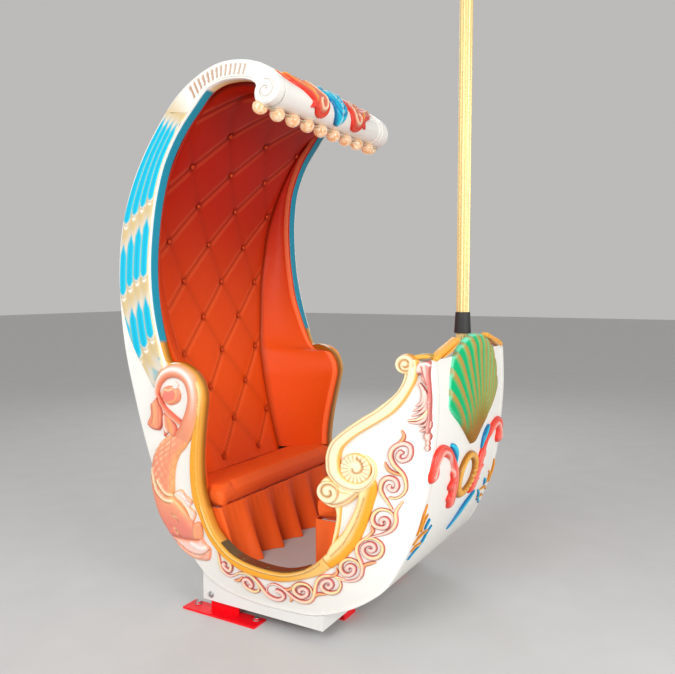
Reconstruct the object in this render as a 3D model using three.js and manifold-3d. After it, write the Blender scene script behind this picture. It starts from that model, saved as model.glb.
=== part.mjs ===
// Carousel chariot: a hooded gondola seat with carved sides, two benches, a pole and its deck brackets.
// Millimetres, +Z up, prow towards +X. Z = 0 is the deck, and Y = 0 is the middle plane.

import * as THREE from 'three';
import { mergeVertices } from 'three/addons/utils/BufferGeometryUtils.js';
import { TessellateModifier } from 'three/addons/modifiers/TessellateModifier.js';
import Module from 'manifold-3d';

const wasm = await Module();
wasm.setup();

// Driving dimensions
const FIT = 0.4;                    // gap between pieces that touch
const LONG_CENTRE = 15.92;          // X of the middle of the whole assembly
const PANEL_THICKNESS = 45;
const SHELL = 12;                   // skin of the hood, back, belly and prow
const SHELL_FIT = 1.3;              // gap from a skin's edge to the curved side panel
const PROW_HALF_WIDTH = 398;
const WIDEST_HALF_WIDTH = 554.6;
const WIDEST_HEIGHT = 1065;
const PROW_LENGTH = 670;            // the sides draw in over this length
const FINE_EDGE = 100;              // longest edge on a piece bent to the side
const SPAN_STEPS = 2;               // steps between two points of a smooth curve
const COARSE = 0.15;                // faces this close to flat are merged
const RELIEF_FIT = 0.8;             // gap behind a carving
const PROW_FIT = 1.1;               // gap behind a carving on the prow's face
const LINING_HALF_WIDTH = 300;      // flat part of the tufted back
const POLE_RADIUS = 25;
const POLE_X = 613;
const POLE_TOP = 2680;
const POLE_FOOT = 790;
const SLEEVE_TOP = 1212;
const SLEEVE_FOOT = 1130;
const FLOOR_TOP = 190;
const SEAT_BOARD_TOP = 424;
const CUSHION_TOP = 503;
const FRONT_BOARD_TOP = 450;
const FRONT_CUSHION_TOP = 535;
const BASE_FOOT = 50;
const BASE_TOP = 168;
const BASE_HALF_WIDTH = 452;
const BASE_REAR = -305;
const BASE_FRONT = 258;
const BOARD = 22;
const LAMP_COUNT = 9;
const LAMP_PITCH = 92;
const LAMP_STRIP_TOP = 1975.8;
const ROLL_BAND_HALF = 392;         // half length of the carved band on the roll
const PROW_TOP = 1060;
const LINING_BACK = 586;            // X of the flat back of the front lining
const STEEL = 8;                    // thickness of the deck brackets
const BRACKET_TOP = 92;

// Outline of a side, from the lip of the hood round the back and belly to the top of the prow
const OUTLINE = [
  [-20, 2133], [-80, 2152], [-150, 2163], [-226, 2160], [-312, 2131], [-398, 2078], [-470, 2003],
  [-566, 1860], [-635, 1703], [-669, 1541], [-670, 1378], [-650, 1215], [-624, 1060], [-588, 890],
  [-544, 686], [-485, 482], [-398, 300], [-290, 166], [-186, 113], [-60, 93], [74, 90], [220, 97],
  [344, 139], [440, 196], [510, 266], [584, 415], [631, 576], [652, 740], [662, 900], [655, 1060],
];
const HOOD_START = 0;
const BACK_START = 9;
const BELLY_START = 16;
const PROW_START = 24;
const OUTLINE_END = OUTLINE.length - 1;

// Round end of the hood's lip, from its top over the front to its underside
const LIP = [
  [-2, 2122], [43, 2088], [67, 2061], [72, 2020], [50, 1984], [8, 1972], [-27, 1988], [-38, 2025],
];

// Edge of the opening, from the lip down the hood, round the arm, over the sill and up the front
const HOOD_RIM = [
  [-30, 2052], [-60, 2071], [-103, 2082], [-160, 2087], [-213, 2082], [-270, 2059], [-325, 2000],
  [-385, 1929], [-430, 1855], [-465, 1771], [-489, 1653], [-498, 1542], [-498, 1415], [-485, 1296],
  [-460, 1178], [-424, 1061],
];
const ARM_RIM = [
  [-400, 1012], [-353, 1016], [-304, 1002], [-264, 976], [-236, 937], [-226, 889], [-233, 839],
  [-248, 764], [-263, 678], [-272, 592], [-274, 527], [-266, 472], [-244, 398],
];
const SILL_RIM = [
  [-216, 342], [-150, 279], [-77, 253], [4, 243], [92, 243], [164, 263], [216, 291], [267, 337],
];
const FRONT_RIM = [
  [303, 386], [313, 443], [324, 500], [316, 545], [298, 634], [295, 689], [298, 725], [315, 765],
  [344, 794], [379, 823], [424, 856], [468, 885], [505, 916], [537, 947], [558, 981], [568, 1015],
  [575, 1060],
];

const PAINT = {
  white: 0xf4f2ec, turquoise: 0x16bfd8, gold: 0xe9b95a, cream: 0xf3e2ae, pink: 0xe0957f, green: 0x2fae7c,
};
function finish(color, roughness, metalness = 0) {
  return new THREE.MeshStandardMaterial({ color, roughness, metalness });
}

const gloss = (color) => finish(color, 0.25);
const WHITE = gloss(PAINT.white);
const GOLD = gloss(PAINT.gold);
const PINK = gloss(PAINT.pink);
const LEATHER = finish(0xc8502a, 0.5);
const AMBER = finish(0xf6d9a0, 0.15);
const GREY = finish(0xc9cbcc, 0.5);
const BRASS = finish(0x9a7b46, 0.35, 0.8);
const RED_STEEL = finish(0xd81e30, 0.35, 0.4);

const part = new THREE.Group();
part.position.x = -LONG_CENTRE;

function place(name, geometry, material) {
  const mesh = new THREE.Mesh(geometry, material);
  mesh.name = name;
  part.add(mesh);
}

// Half width of the chariot outside its side panels: a barrel that draws in towards the prow
function halfWidth(x, z) {
  const rise = (z - WIDEST_HEIGHT) / 1000;
  const barrel = WIDEST_HALF_WIDTH + 30 - 6.6 * rise - 121 * Math.hypot(rise, 0.25);
  const along = THREE.MathUtils.clamp(x / PROW_LENGTH, 0, 1);
  return barrel - (barrel - PROW_HALF_WIDTH) * along ** 1.5;
}

const innerHalfWidth = (x, z) => halfWidth(x, z) - PANEL_THICKNESS;

function vectors(points) {
  return points.map(([a, b]) => new THREE.Vector2(a, b));
}

// Smooth curve through points, as a list of closer points
function smooth(points) {
  const curve = new THREE.SplineCurve(vectors(points));
  return curve.getPoints(SPAN_STEPS * (points.length - 1)).map(({ x, y }) => [x, y]);
}

// Closed outline from runs of points: a run of one point is a straight line to it, a longer one a curve
function outline(start, ...runs) {
  const points = [start];
  for (const run of runs) points.push(...(run.length === 1 ? run : smooth([points.at(-1), ...run]).slice(1)));
  return new THREE.Shape(vectors(points));
}

const straight = (points) => points.map((point) => [point]);

function extrude(shape, depth, steps = 1) {
  return new THREE.ExtrudeGeometry(shape, { depth, bevelEnabled: false, curveSegments: 6, steps });
}

// Only positions matter: the vertices are merged so that the mesh is one closed body
function closed(geometry) {
  geometry.deleteAttribute('normal');
  geometry.deleteAttribute('uv');
  return mergeVertices(geometry, 1e-3);
}

function fine(geometry, edge = FINE_EDGE) {
  const loose = geometry.index ? geometry.toNonIndexed() : geometry;
  loose.deleteAttribute('normal');
  loose.deleteAttribute('uv');
  return new TessellateModifier(edge, 12).modify(loose);
}

function flip(geometry) {
  const merged = closed(geometry);
  const order = merged.index.array;
  for (let i = 0; i < order.length; i += 3) [order[i], order[i + 1]] = [order[i + 1], order[i]];
  return merged;
}

// Moves every vertex; toPlace gives the new [x, y, z] of a point
function moved(geometry, toPlace, mirrored = false) {
  const position = geometry.attributes.position;
  for (let i = 0; i < position.count; i += 1) {
    position.setXYZ(i, ...toPlace(position.getX(i), position.getY(i), position.getZ(i)));
  }
  return mirrored ? flip(geometry) : closed(geometry);
}

// A piece drawn in X and Z, its third axis outwards, is laid on the curved side: side is -1 or 1
function onSide(geometry, side, lift) {
  const bent = (x, z, out) => [x, side * (halfWidth(x, z) + lift + out), z];
  return fromManifold(solid(moved(fine(geometry.clone()), bent, side > 0)).simplify(COARSE));
}

function placeOnSides(name, geometry, material, lift = RELIEF_FIT) {
  place(`${name}_right`, onSide(geometry, -1, lift), material);
  place(`${name}_left`, onSide(geometry, 1, lift), material);
}

function solid(geometry) {
  const merged = closed(geometry);
  const vertProperties = new Float32Array(merged.attributes.position.array);
  const triVerts = new Uint32Array(merged.index.array);
  return new wasm.Manifold(new wasm.Mesh({ numProp: 3, vertProperties, triVerts }));
}

function fromManifold(manifold) {
  const mesh = manifold.getMesh();
  const geometry = new THREE.BufferGeometry();
  geometry.setAttribute('position', new THREE.BufferAttribute(mesh.vertProperties, 3));
  geometry.setIndex(new THREE.BufferAttribute(mesh.triVerts, 1));
  return geometry;
}

function joined(geometries) {
  return fromManifold(geometries.map(solid).reduce((sum, next) => sum.add(next)));
}

function box(xMin, xMax, yMin, yMax, zMin, zMax) {
  const geometry = new THREE.BoxGeometry(xMax - xMin, yMax - yMin, zMax - zMin);
  geometry.translate((xMin + xMax) / 2, (yMin + yMax) / 2, (zMin + zMax) / 2);
  return geometry;
}

function disc(x, y, radius, depth, sides = 20) {
  const cylinder = new THREE.CylinderGeometry(radius, radius, depth, sides).rotateX(Math.PI / 2);
  return cylinder.translate(x, y, depth / 2);
}

function turned(profile, sides) {
  return new THREE.LatheGeometry(vectors(profile), sides).rotateX(Math.PI / 2);
}

// A point at t on a curve, moved to the left of its direction
function besideCurve(curve, t, distance) {
  const { x, y } = curve.getPoint(t);
  const along = curve.getTangent(t);
  return [x - distance * along.y, y + distance * along.x];
}

// Points on the outline between two of its numbered points, moved inwards by the inset
const keel = new THREE.SplineCurve(vectors(OUTLINE));
const keelPoint = (index, inset) => besideCurve(keel, index / OUTLINE_END, inset);

function keelRun(from, to, inset, steps) {
  return Array.from({ length: steps + 1 }, (_, i) => keelPoint(from + ((to - from) * i) / steps, inset));
}

// A sheet that follows the outline between two insets
function sheetProfile(from, to, outer, inner, steps) {
  const ring = [...keelRun(from, to, outer, steps), ...keelRun(from, to, inner, steps).reverse()];
  return new THREE.Shape(vectors(ring));
}

// A profile in X and Z becomes a piece as wide as width(x, z) on each side of the middle
function across(shape, width) {
  const geometry = extrude(shape, 2).translate(0, 0, -1);
  return moved(geometry, (x, z, out) => [x, -out * width(x, z), z]);
}

const betweenPanels = (x, z) => innerHalfWidth(x, z) - SHELL_FIT;

// Closed body through rings of the same number of points
function loft(rings) {
  const count = rings[0].length;
  const faces = [];
  for (let r = 0; r + 1 < rings.length; r += 1) {
    for (let i = 0; i < count; i += 1) {
      const a = r * count + i;
      const b = r * count + ((i + 1) % count);
      faces.push(a, b, b + count, a, b + count, a + count);
    }
  }
  const last = (rings.length - 1) * count;
  for (let i = 1; i + 1 < count; i += 1) faces.push(0, i + 1, i, last, last + i, last + i + 1);
  const geometry = new THREE.BufferGeometry();
  geometry.setAttribute('position', new THREE.Float32BufferAttribute(rings.flat(2), 3));
  geometry.setIndex(faces);
  return geometry;
}

const SILL_EDGE = smooth([ARM_RIM.at(-1), ...SILL_RIM]).slice(1);

function buildSidePanels() {
  const shape = outline(
    OUTLINE[0], LIP, [HOOD_RIM[0]], HOOD_RIM.slice(1), ARM_RIM, ...straight(SILL_EDGE), FRONT_RIM,
    ...straight(keelRun(0, OUTLINE_END, 0, 42).reverse()),
  );
  placeOnSides('side_panel', extrude(shape, PANEL_THICKNESS).translate(0, 0, -PANEL_THICKNESS), WHITE, 0);
}

function buildShells() {
  const seam = 0.002;
  const pieces = [
    ['hood_shell', HOOD_START, BACK_START, 18],
    ['back_shell', BACK_START, BELLY_START, 14],
    ['belly_shell', BELLY_START, PROW_START, 18],
    ['prow_shell', PROW_START, OUTLINE_END, 12],
  ];
  for (const [name, from, to, steps] of pieces) {
    place(name, across(sheetProfile(from + seam, to - seam, 0, SHELL, steps), betweenPanels), WHITE);
  }
}

// The hood's lip is a round roll between the two panels, with a carved band on its front
const ROLL = [
  [-16, 2118], [4, 2112], [38, 2081], [62, 2056], [67, 2020], [46, 1988], [8, 1977], [-23, 1992],
  [-31, 2032],
];

function buildRoll() {
  place('hood_roll', across(new THREE.Shape(vectors(smooth(ROLL))), betweenPanels), WHITE);
  const roll = new THREE.SplineCurve(vectors(ROLL));
  const row = (lift) => Array.from({ length: 9 }, (_, i) => besideCurve(roll, (i + 2) / 16, lift));
  const band = new THREE.Shape(vectors([...row(RELIEF_FIT), ...row(RELIEF_FIT + 8).reverse()]));
  place('hood_leaves', across(band, () => ROLL_BAND_HALF), PINK);
}

// The lamps hang in a row from a strip under the roll
function buildLamps() {
  const middle = (LAMP_COUNT - 1) / 2;
  const half = betweenPanels(0, LAMP_STRIP_TOP);
  const strip = box(-10, 18, -half, half, LAMP_STRIP_TOP - 9, LAMP_STRIP_TOP);
  const dome = [[0, -34], [12, -30], [19, -20], [21, -6], [0, -6]];
  const lamps = Array.from({ length: LAMP_COUNT }, (_, i) => (
    turned(dome, 10).translate(4, (i - middle) * LAMP_PITCH, LAMP_STRIP_TOP)
  ));
  place('lamp_strip', joined([strip, ...lamps]), AMBER);
}

function buildProwCap() {
  const [back, front, top] = [587, 655 - SHELL - FIT, PROW_TOP];
  const shape = outline([back, top - 18], [[front, top - 18]], [[front, top]], [[back, top]]);
  const bore = new THREE.CylinderGeometry(POLE_RADIUS + FIT, POLE_RADIUS + FIT, 60, 24).rotateX(Math.PI / 2);
  const cap = solid(across(shape, betweenPanels)).subtract(solid(bore.translate(POLE_X, 0, top - 9)));
  place('prow_cap', fromManifold(cap), WHITE);
}

// Carved bands on the hood's sides, drawn in X and Z
function buildHoodBands() {
  const reeded = outline(
    [-6, 2112], [[-80, 2142], [-150, 2152], [-226, 2149], [-306, 2121], [-392, 2068], [-430, 2030]],
    [[-352, 1974]], [[-318, 2016], [-265, 2070], [-213, 2093], [-160, 2098], [-103, 2093], [-48, 2080]],
  );
  placeOnSides('reeded_band', extrude(reeded, 8), WHITE);
  const feathers = outline(
    [-440, 2020], [[-556, 1856], [-624, 1700], [-658, 1541], [-659, 1378], [-652, 1290]],
    [[-619, 1175], [-587, 1095], [-535, 1010], [-502, 955]],
    [[-474, 990]], [[-462, 1020], [-474, 1175], [-498, 1296], [-511, 1415], [-511, 1542], [-502, 1655],
      [-477, 1776], [-442, 1860], [-397, 1935], [-366, 1972]],
  );
  placeOnSides('feather_band', extrude(feathers, 10), gloss(PAINT.turquoise));
}

// A carp with its tail curled into a scroll on each arm
function buildArmCarvings() {
  const fish = outline(
    [-358, 1012], [[-299, 1003], [-256, 969], [-243, 917], [-249, 859], [-262, 804], [-296, 721], [-347, 659],
      [-381, 603], [-395, 549], [-396, 496], [-352, 450], [-318, 385], [-286, 300], [-300, 268]],
    [[-318, 262]], [[-400, 290], [-455, 345], [-497, 420], [-516, 500], [-512, 582], [-482, 661], [-430, 715],
      [-437, 749], [-478, 736], [-515, 763], [-496, 808], [-488, 860], [-461, 901], [-452, 944], [-414, 990]],
  );
  placeOnSides('arm_carp', extrude(fish, 24), PINK);
}

// Gold band on the edge of the arm and along the sill
function buildRimMouldings() {
  const band = outline(
    [-240, 880], [[-241, 839], [-253, 764], [-267, 678], [-275, 592], [-277, 527], [-269, 472], [-247, 398]],
    [[-219, 341], [-151, 276], [-77, 250], [4, 240], [92, 240], [164, 260], [216, 288], [264, 332]],
    [[297, 298]], [[247, 261], [161, 227], [89, 208], [-3, 204], [-100, 217], [-177, 256], [-216, 287],
      [-252, 332], [-278, 385]],
    [[-282, 420]], [[-307, 466], [-313, 543], [-307, 630], [-289, 717], [-258, 800]],
  );
  placeOnSides('rim_moulding', extrude(band, 14), GOLD);
}

// Gold scrolls up the front edge: an S between two volutes, with a small volute over the opening
function buildFrontMouldings() {
  const sweep = outline(
    [560, 1018], [[545, 981], [526, 947], [496, 914], [459, 883], [415, 850], [371, 821], [336, 797],
      [305, 766], [288, 725], [285, 689], [296, 646], [318, 614], [361, 594], [403, 588]],
    [[403, 640]], [[364, 650], [350, 685], [352, 713], [364, 749], [395, 782], [432, 811], [484, 844],
      [534, 880], [570, 922], [597, 971], [611, 1020]],
  );
  const stem = outline(
    [268, 336], [[297, 384], [338, 428], [373, 487], [399, 544], [414, 590]],
    [[470, 640]], [[472, 605], [457, 550], [437, 487], [401, 406], [351, 343], [300, 301]],
  );
  const branch = outline(
    [303, 388], [[312, 443], [318, 500], [312, 548]], [[336, 548]], [[334, 500], [326, 443], [318, 396]],
  );
  const bridge = outline([300, 540], [[360, 532], [410, 560]], [[420, 606]], [[360, 590]]);
  const pieces = [
    extrude(sweep, 30), extrude(stem, 18), extrude(branch, 14), extrude(bridge, 22),
    disc(577, 1050, 40, 34), disc(404, 660, 68, 34, 28), disc(311, 584, 50, 26),
  ];
  placeOnSides('front_moulding', joined(pieces), gloss(PAINT.cream));
}

// Vine of spirals that follows the gold band, drawn as discs on a wavy stem
function buildVines() {
  const spirals = [
    [554, 736, 30], [520, 627, 28], [490, 510, 30], [446, 390, 32], [363, 302, 30], [277, 227, 26],
    [175, 180, 28], [59, 152, 27], [-64, 158, 27], [-167, 213, 22],
  ];
  const stem = outline(
    [566, 800], [[572, 700], [545, 580], [500, 460], [440, 360], [350, 272], [240, 200], [100, 158],
      [-60, 150], [-190, 210]],
    [[-196, 226]], [[-60, 172], [96, 176], [232, 216], [340, 290], [428, 374], [484, 470], [528, 590],
      [552, 700]],
  );
  const discs = spirals.map(([x, z, radius]) => disc(x, z, radius, 10, 12));
  placeOnSides('vine_scroll', joined([extrude(stem, 8), ...discs]), PINK);
}

function buildCornerLeaves() {
  const leaf = outline(
    [640, 1056], [[645, 980], [648, 900], [646, 830], [636, 760]],
    [[622, 790]], [[612, 838], [580, 852], [604, 905], [600, 968], [616, 1010], [618, 1056]],
  );
  placeOnSides('corner_leaf', extrude(leaf, 16), PINK);
}

// X of the prow's face at a height; past either end of the list it is the end's own X
const PROW_LINE = keelRun(PROW_START - 2, OUTLINE_END, 0, 40);

function prowFace(z) {
  const next = PROW_LINE.findIndex(([, height]) => height > z);
  if (next < 1) return PROW_LINE.at(next)[0];
  const [[lowX, low], [highX, high]] = PROW_LINE.slice(next - 1, next + 1);
  return lowX + ((highX - lowX) * (z - low)) / (high - low);
}

// A piece drawn in Y and Z, its third axis outwards, is laid on the prow's face
function onProw(geometry, swell = () => 1) {
  return moved(fine(geometry, 90), (y, z, out) => [prowFace(z) + PROW_FIT + out * swell(y), y, z]);
}

const mirrored = (points) => points.map(([y, z]) => [-y, z]).reverse();

function buildProwCarvings() {
  const half = [
    [85, 760], [150, 803], [262, 872], [270, 918], [262, 974], [243, 1022], [215, 1063], [160, 1094],
    [105, 1114], [50, 1128],
  ];
  const scallop = outline([0, 700], half, [[0, 1132]], mirrored(half), [[0, 700]]);
  const dome = (y) => 1 - 0.7 * (y / 270) ** 2;
  place('prow_scallop', onProw(extrude(scallop, 42), dome), gloss(PAINT.green));

  const scroll = [
    [118, 640], [150, 690], [210, 745], [300, 768], [372, 735], [385, 690], [362, 640], [340, 655],
    [332, 690], [300, 715], [262, 705], [235, 660], [205, 630], [195, 600], [215, 560], [178, 530],
  ];
  const foot = [[172, 495], [100, 480], [50, 486]];
  const frame = outline([0, 672], [[60, 662], ...scroll], foot, [[0, 484]], mirrored(foot), mirrored(scroll),
    [[-60, 662], [0, 672]]);
  frame.holes.push(new THREE.Path().absellipse(0, 578, 62, 56, 0, 2 * Math.PI));
  place('prow_cartouche', onProw(extrude(frame, 22)), PINK);

  const spray = outline([355, 545], [[382, 500], [386, 440]], [[352, 400]], [[290, 372], [225, 352]],
    [[215, 372]], [[270, 400], [318, 428], [345, 470], [332, 520]]);
  const crest = outline([205, 1128], [[228, 1136], [290, 1112], [345, 1100], [PROW_HALF_WIDTH - 4, 1096]],
    [[PROW_HALF_WIDTH - 4, PROW_TOP + FIT]], [[318, PROW_TOP + FIT]], [[285, 1068], [240, 1096]]);
  for (const [side, turn] of [['right', -1], ['left', 1]]) {
    const mirror = (geometry) => (turn < 0 ? flip(geometry.scale(-1, 1, 1)) : closed(geometry));
    place(`prow_spray_${side}`, onProw(mirror(extrude(spray, 12))), GOLD);
    place(`prow_crest_${side}`, moved(mirror(extrude(crest, 40)), (y, z, out) => [608 + out, y, z]), GOLD);
  }
}

// How far the tufted lining stands in from the outline
function liningDepth(z) {
  return 48 + 40 * THREE.MathUtils.smoothstep(z, 1000, 1900);
}

// Lining of the sides: from a point on the outline to one on the rim, down from the lip to the seat
const SIDE_STATIONS = [
  [-50, 2143, -48, 2062], [-119, 2159, -113, 2083], [-226, 2159, -213, 2081], [-312, 2130, -275, 2054],
  [-398, 2077, -335, 1989], [-470, 2002, -395, 1914], [-566, 1859, -462, 1779], [-634, 1703, -490, 1650],
  [-668, 1541, -499, 1535], [-669, 1378, -496, 1390], [-649, 1215, -470, 1215], [-625, 1073, -380, 1005],
  [-609, 985, -270, 975], [-588, 890, -228, 890], [-566, 790, -245, 780], [-543, 686, -263, 680],
  [-517, 590, -273, 590], [-494, 514, -271, 506],
];

function buildLinings() {
  const [from, to, steps] = [0.5, BELLY_START - 1, 29];
  const back = keelRun(from, to, SHELL + FIT, steps);
  const face = keelRun(from, to, 0, steps).map(([, z], i) => (
    keelPoint(from + ((to - from) * i) / steps, liningDepth(z))
  ));
  const sheet = new THREE.Shape(vectors([...back, ...face.reverse()]));
  place('back_lining', across(sheet, () => LINING_HALF_WIDTH), LEATHER);

  for (const [name, side] of [['side_lining_right', -1], ['side_lining_left', 1]]) {
    const rings = SIDE_STATIONS.map(([x, z, rimX, rimZ]) => {
      const reach = Math.hypot(rimX - x, rimZ - z);
      const at = (depth) => [x + ((rimX - x) * depth) / reach, z + ((rimZ - z) * depth) / reach];
      const ring = [
        [SHELL + 3, LINING_HALF_WIDTH + FIT], [liningDepth(z), LINING_HALF_WIDTH + FIT],
        [reach - 2, 0], [SHELL + 3, 0],
      ].map(([depth, y]) => {
        const [px, pz] = at(depth);
        return [px, side * (y || betweenPanels(px, pz)), pz];
      });
      return side < 0 ? ring : ring.reverse();
    });
    place(name, closed(loft(rings)), LEATHER);
  }
  const front = new THREE.Shape(vectors([
    [LINING_BACK - 18, FRONT_BOARD_TOP + FIT], [LINING_BACK, 570], [LINING_BACK, PROW_TOP - 1],
    [556, PROW_TOP - 1], [545, 1020], [528, 800], [504, 560], [494, FRONT_BOARD_TOP + FIT],
  ]));
  place('front_lining', across(front, betweenPanels), LEATHER);
}

// Folds of a hanging sheet: its X swings by the given amount at the hem
function hung(name, [topX, top], [footX, foot], folds, swing) {
  const levels = 3;
  const edge = (shift) => Array.from({ length: levels + 1 }, (_, i) => {
    const down = i / levels;
    return [topX + (footX - topX) * down + shift, top + (foot - top) * down];
  });
  const sheet = new THREE.Shape(vectors([...edge(0), ...edge(6).reverse()]));
  const geometry = extrude(sheet, 2, folds * 5).translate(0, 0, -1);
  place(name, moved(geometry, (x, z, out) => {
    const fold = swing * ((top - z) / (top - foot)) * Math.cos(folds * Math.PI * out);
    return [x + fold, -out * betweenPanels(x, z), z];
  }), LEATHER);
}

function buildCabin() {
  const slab = (name, points, material) => {
    place(name, across(new THREE.Shape(vectors(points)), betweenPanels), material);
  };
  slab('cabin_floor', [
    [-272, FLOOR_TOP - 15], [372, FLOOR_TOP - 15], [372, FLOOR_TOP], [-272, FLOOR_TOP],
  ], GREY);
  slab('rear_seat_base', [
    [-237, FLOOR_TOP + FIT], [-225, FLOOR_TOP + FIT], [-225, SEAT_BOARD_TOP], [-428, SEAT_BOARD_TOP],
    [-428, SEAT_BOARD_TOP - BOARD], [-237, SEAT_BOARD_TOP - BOARD],
  ], WHITE);
  slab('front_seat_base', [
    [215, FLOOR_TOP + FIT], [227, FLOOR_TOP + FIT], [227, FRONT_BOARD_TOP - BOARD],
    [568, FRONT_BOARD_TOP - BOARD], [568, FRONT_BOARD_TOP], [215, FRONT_BOARD_TOP],
  ], WHITE);
  slab('rear_cushion', [
    [-430, SEAT_BOARD_TOP + FIT], [-212, SEAT_BOARD_TOP + FIT], [-206, CUSHION_TOP - 30],
    [-214, CUSHION_TOP - 8], [-232, CUSHION_TOP], [-438, CUSHION_TOP],
  ], LEATHER);
  slab('front_cushion', [
    [203, FRONT_BOARD_TOP + FIT], [493, FRONT_BOARD_TOP + FIT], [497, FRONT_CUSHION_TOP],
    [222, FRONT_CUSHION_TOP], [204, FRONT_CUSHION_TOP - 8], [196, FRONT_CUSHION_TOP - 30],
  ], LEATHER);
  hung('rear_skirt', [-224, SEAT_BOARD_TOP - 2], [-150, FLOOR_TOP + FIT], 5, 26);
  hung('front_skirt', [208, FRONT_BOARD_TOP - 2], [196, FLOOR_TOP + FIT], 6, 5);

  const rise = (lift) => SILL_EDGE.slice(2, -3).map(([x, z]) => [x, z + lift]);
  const tread = new THREE.Shape(vectors([...rise(RELIEF_FIT), ...rise(4).reverse()]));
  const plate = extrude(tread, PANEL_THICKNESS).translate(0, 0, -PANEL_THICKNESS);
  placeOnSides('threshold_plate', plate, BRASS, 0);
}

// White frame under the hull, its top cut to the keel
function buildBase() {
  const under = keelRun(16.6, 21.7, -0.6, 22);
  const cut = new THREE.Shape(vectors([[under[0][0], 0], ...under, [under.at(-1)[0], 0]]));
  const half = BOARD / 2;
  const outer = box(
    BASE_REAR, BASE_FRONT, -BASE_HALF_WIDTH - half, BASE_HALF_WIDTH + half, BASE_FOOT, BASE_TOP,
  );
  const inner = box(
    BASE_REAR + BOARD, BASE_FRONT - BOARD, -BASE_HALF_WIDTH + half, BASE_HALF_WIDTH - half, 0, 400,
  );
  const hull = across(cut, () => BASE_HALF_WIDTH + BOARD);
  const frame = solid(outer).subtract(solid(inner)).intersect(solid(hull));
  place('base_frame', fromManifold(frame), WHITE);
}

function bolt(x, y, z) {
  return new THREE.CylinderGeometry(13, 13, 10, 6).rotateX(Math.PI / 2).translate(x, y, z);
}

// Steel angles that hold the frame on the deck
function buildBrackets() {
  const inside = BASE_HALF_WIDTH - BOARD / 2 - FIT;
  for (const [side, turn] of [['right', -1], ['left', 1]]) {
    const span = (low, high) => (turn > 0 ? [low, high] : [-high, -low]);
    const rear = [
      box(-389, -31, ...span(414, 493), 0, STEEL),
      box(BASE_REAR + BOARD + FIT, -144, ...span(inside - STEEL, inside), 0, BRACKET_TOP),
      bolt(-354, turn * 437, STEEL + 4), bolt(-58, turn * 437, STEEL + 4),
    ];
    place(`rear_bracket_${side}`, joined(rear), RED_STEEL);
    const front = [
      box(146, BASE_FRONT - BOARD - FIT, ...span(170, 260), 0, STEEL),
      box(BASE_FRONT - BOARD - FIT - STEEL, BASE_FRONT - BOARD - FIT, ...span(170, 260), 0, BRACKET_TOP),
      bolt(176, turn * 215, STEEL + 4),
    ];
    place(`front_bracket_${side}`, joined(front), RED_STEEL);
  }
}

// Fluted pole in its socket behind the prow, with a sleeve that steadies it above
function buildPole() {
  const flutes = 12;
  const round = Array.from({ length: flutes * 4 }, (_, i) => {
    const angle = (i * 2 * Math.PI) / (flutes * 4);
    const radius = i % 4 === 2 ? POLE_RADIUS - 3 : POLE_RADIUS;
    return [radius * Math.cos(angle), radius * Math.sin(angle)];
  });
  const pole = new THREE.ExtrudeGeometry(new THREE.Shape(vectors(round)), {
    depth: POLE_TOP - POLE_FOOT, bevelEnabled: false, steps: 1,
  });
  place('pole', closed(pole.translate(POLE_X, 0, POLE_FOOT)), GOLD);
  const bore = POLE_RADIUS + FIT;
  const sleeve = [
    [bore, SLEEVE_FOOT], [32, SLEEVE_FOOT], [31, SLEEVE_FOOT + 24], [28, SLEEVE_TOP], [bore, SLEEVE_TOP],
    [bore, SLEEVE_FOOT],
  ];
  place('pole_sleeve', closed(turned(sleeve, 24).translate(POLE_X, 0, 0)), finish(0x18181a, 0.8));
  place('pole_socket', closed(box(LINING_BACK + FIT, POLE_X + 20, -60, 60, 700, POLE_FOOT - FIT)), RED_STEEL);
}

buildSidePanels();
buildShells();
buildRoll();
buildLamps();
buildProwCap();
buildHoodBands();
buildArmCarvings();
buildRimMouldings();
buildFrontMouldings();
buildVines();
buildCornerLeaves();
buildProwCarvings();
buildLinings();
buildCabin();
buildBase();
buildBrackets();
buildPole();

export default part;
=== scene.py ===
"""Fairground carousel chariot: a hooded gondola seat with carved sides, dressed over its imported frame.

Sizes are in millimetres in the chariot's own frame (X towards the prow, Y to the left, Z up from the deck)
until a piece is built, when its points become metres in the frame's own coordinates.
"""

import logging
import math
from dataclasses import dataclass, field
from enum import Enum
from typing import Any, Callable, Sequence

import bmesh
import bpy
import numpy as np
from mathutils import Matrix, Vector
from mathutils.geometry import delaunay_2d_cdt


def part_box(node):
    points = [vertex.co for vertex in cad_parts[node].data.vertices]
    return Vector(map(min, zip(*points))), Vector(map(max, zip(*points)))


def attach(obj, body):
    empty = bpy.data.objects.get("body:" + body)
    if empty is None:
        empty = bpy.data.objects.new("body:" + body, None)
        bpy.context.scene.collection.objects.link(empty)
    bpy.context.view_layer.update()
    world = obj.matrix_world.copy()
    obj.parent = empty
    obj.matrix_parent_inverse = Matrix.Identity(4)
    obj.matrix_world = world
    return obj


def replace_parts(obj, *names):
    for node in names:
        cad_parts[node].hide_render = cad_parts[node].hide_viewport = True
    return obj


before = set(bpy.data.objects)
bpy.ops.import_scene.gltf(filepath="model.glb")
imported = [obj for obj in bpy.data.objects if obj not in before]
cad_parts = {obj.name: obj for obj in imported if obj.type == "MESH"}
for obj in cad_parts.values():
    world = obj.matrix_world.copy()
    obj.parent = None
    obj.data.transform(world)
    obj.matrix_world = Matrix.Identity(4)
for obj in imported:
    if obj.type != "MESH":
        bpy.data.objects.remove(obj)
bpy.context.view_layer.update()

LOG = logging.getLogger("chariot")
POLE_X = 613.0
SHIFT = POLE_X - 1000 * (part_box("pole")[0][0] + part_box("pole")[1][0]) / 2

Array = np.ndarray
Pairs = Sequence[tuple[float, float]]
Field = Callable[[Array, Array, Array], Array]

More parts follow.
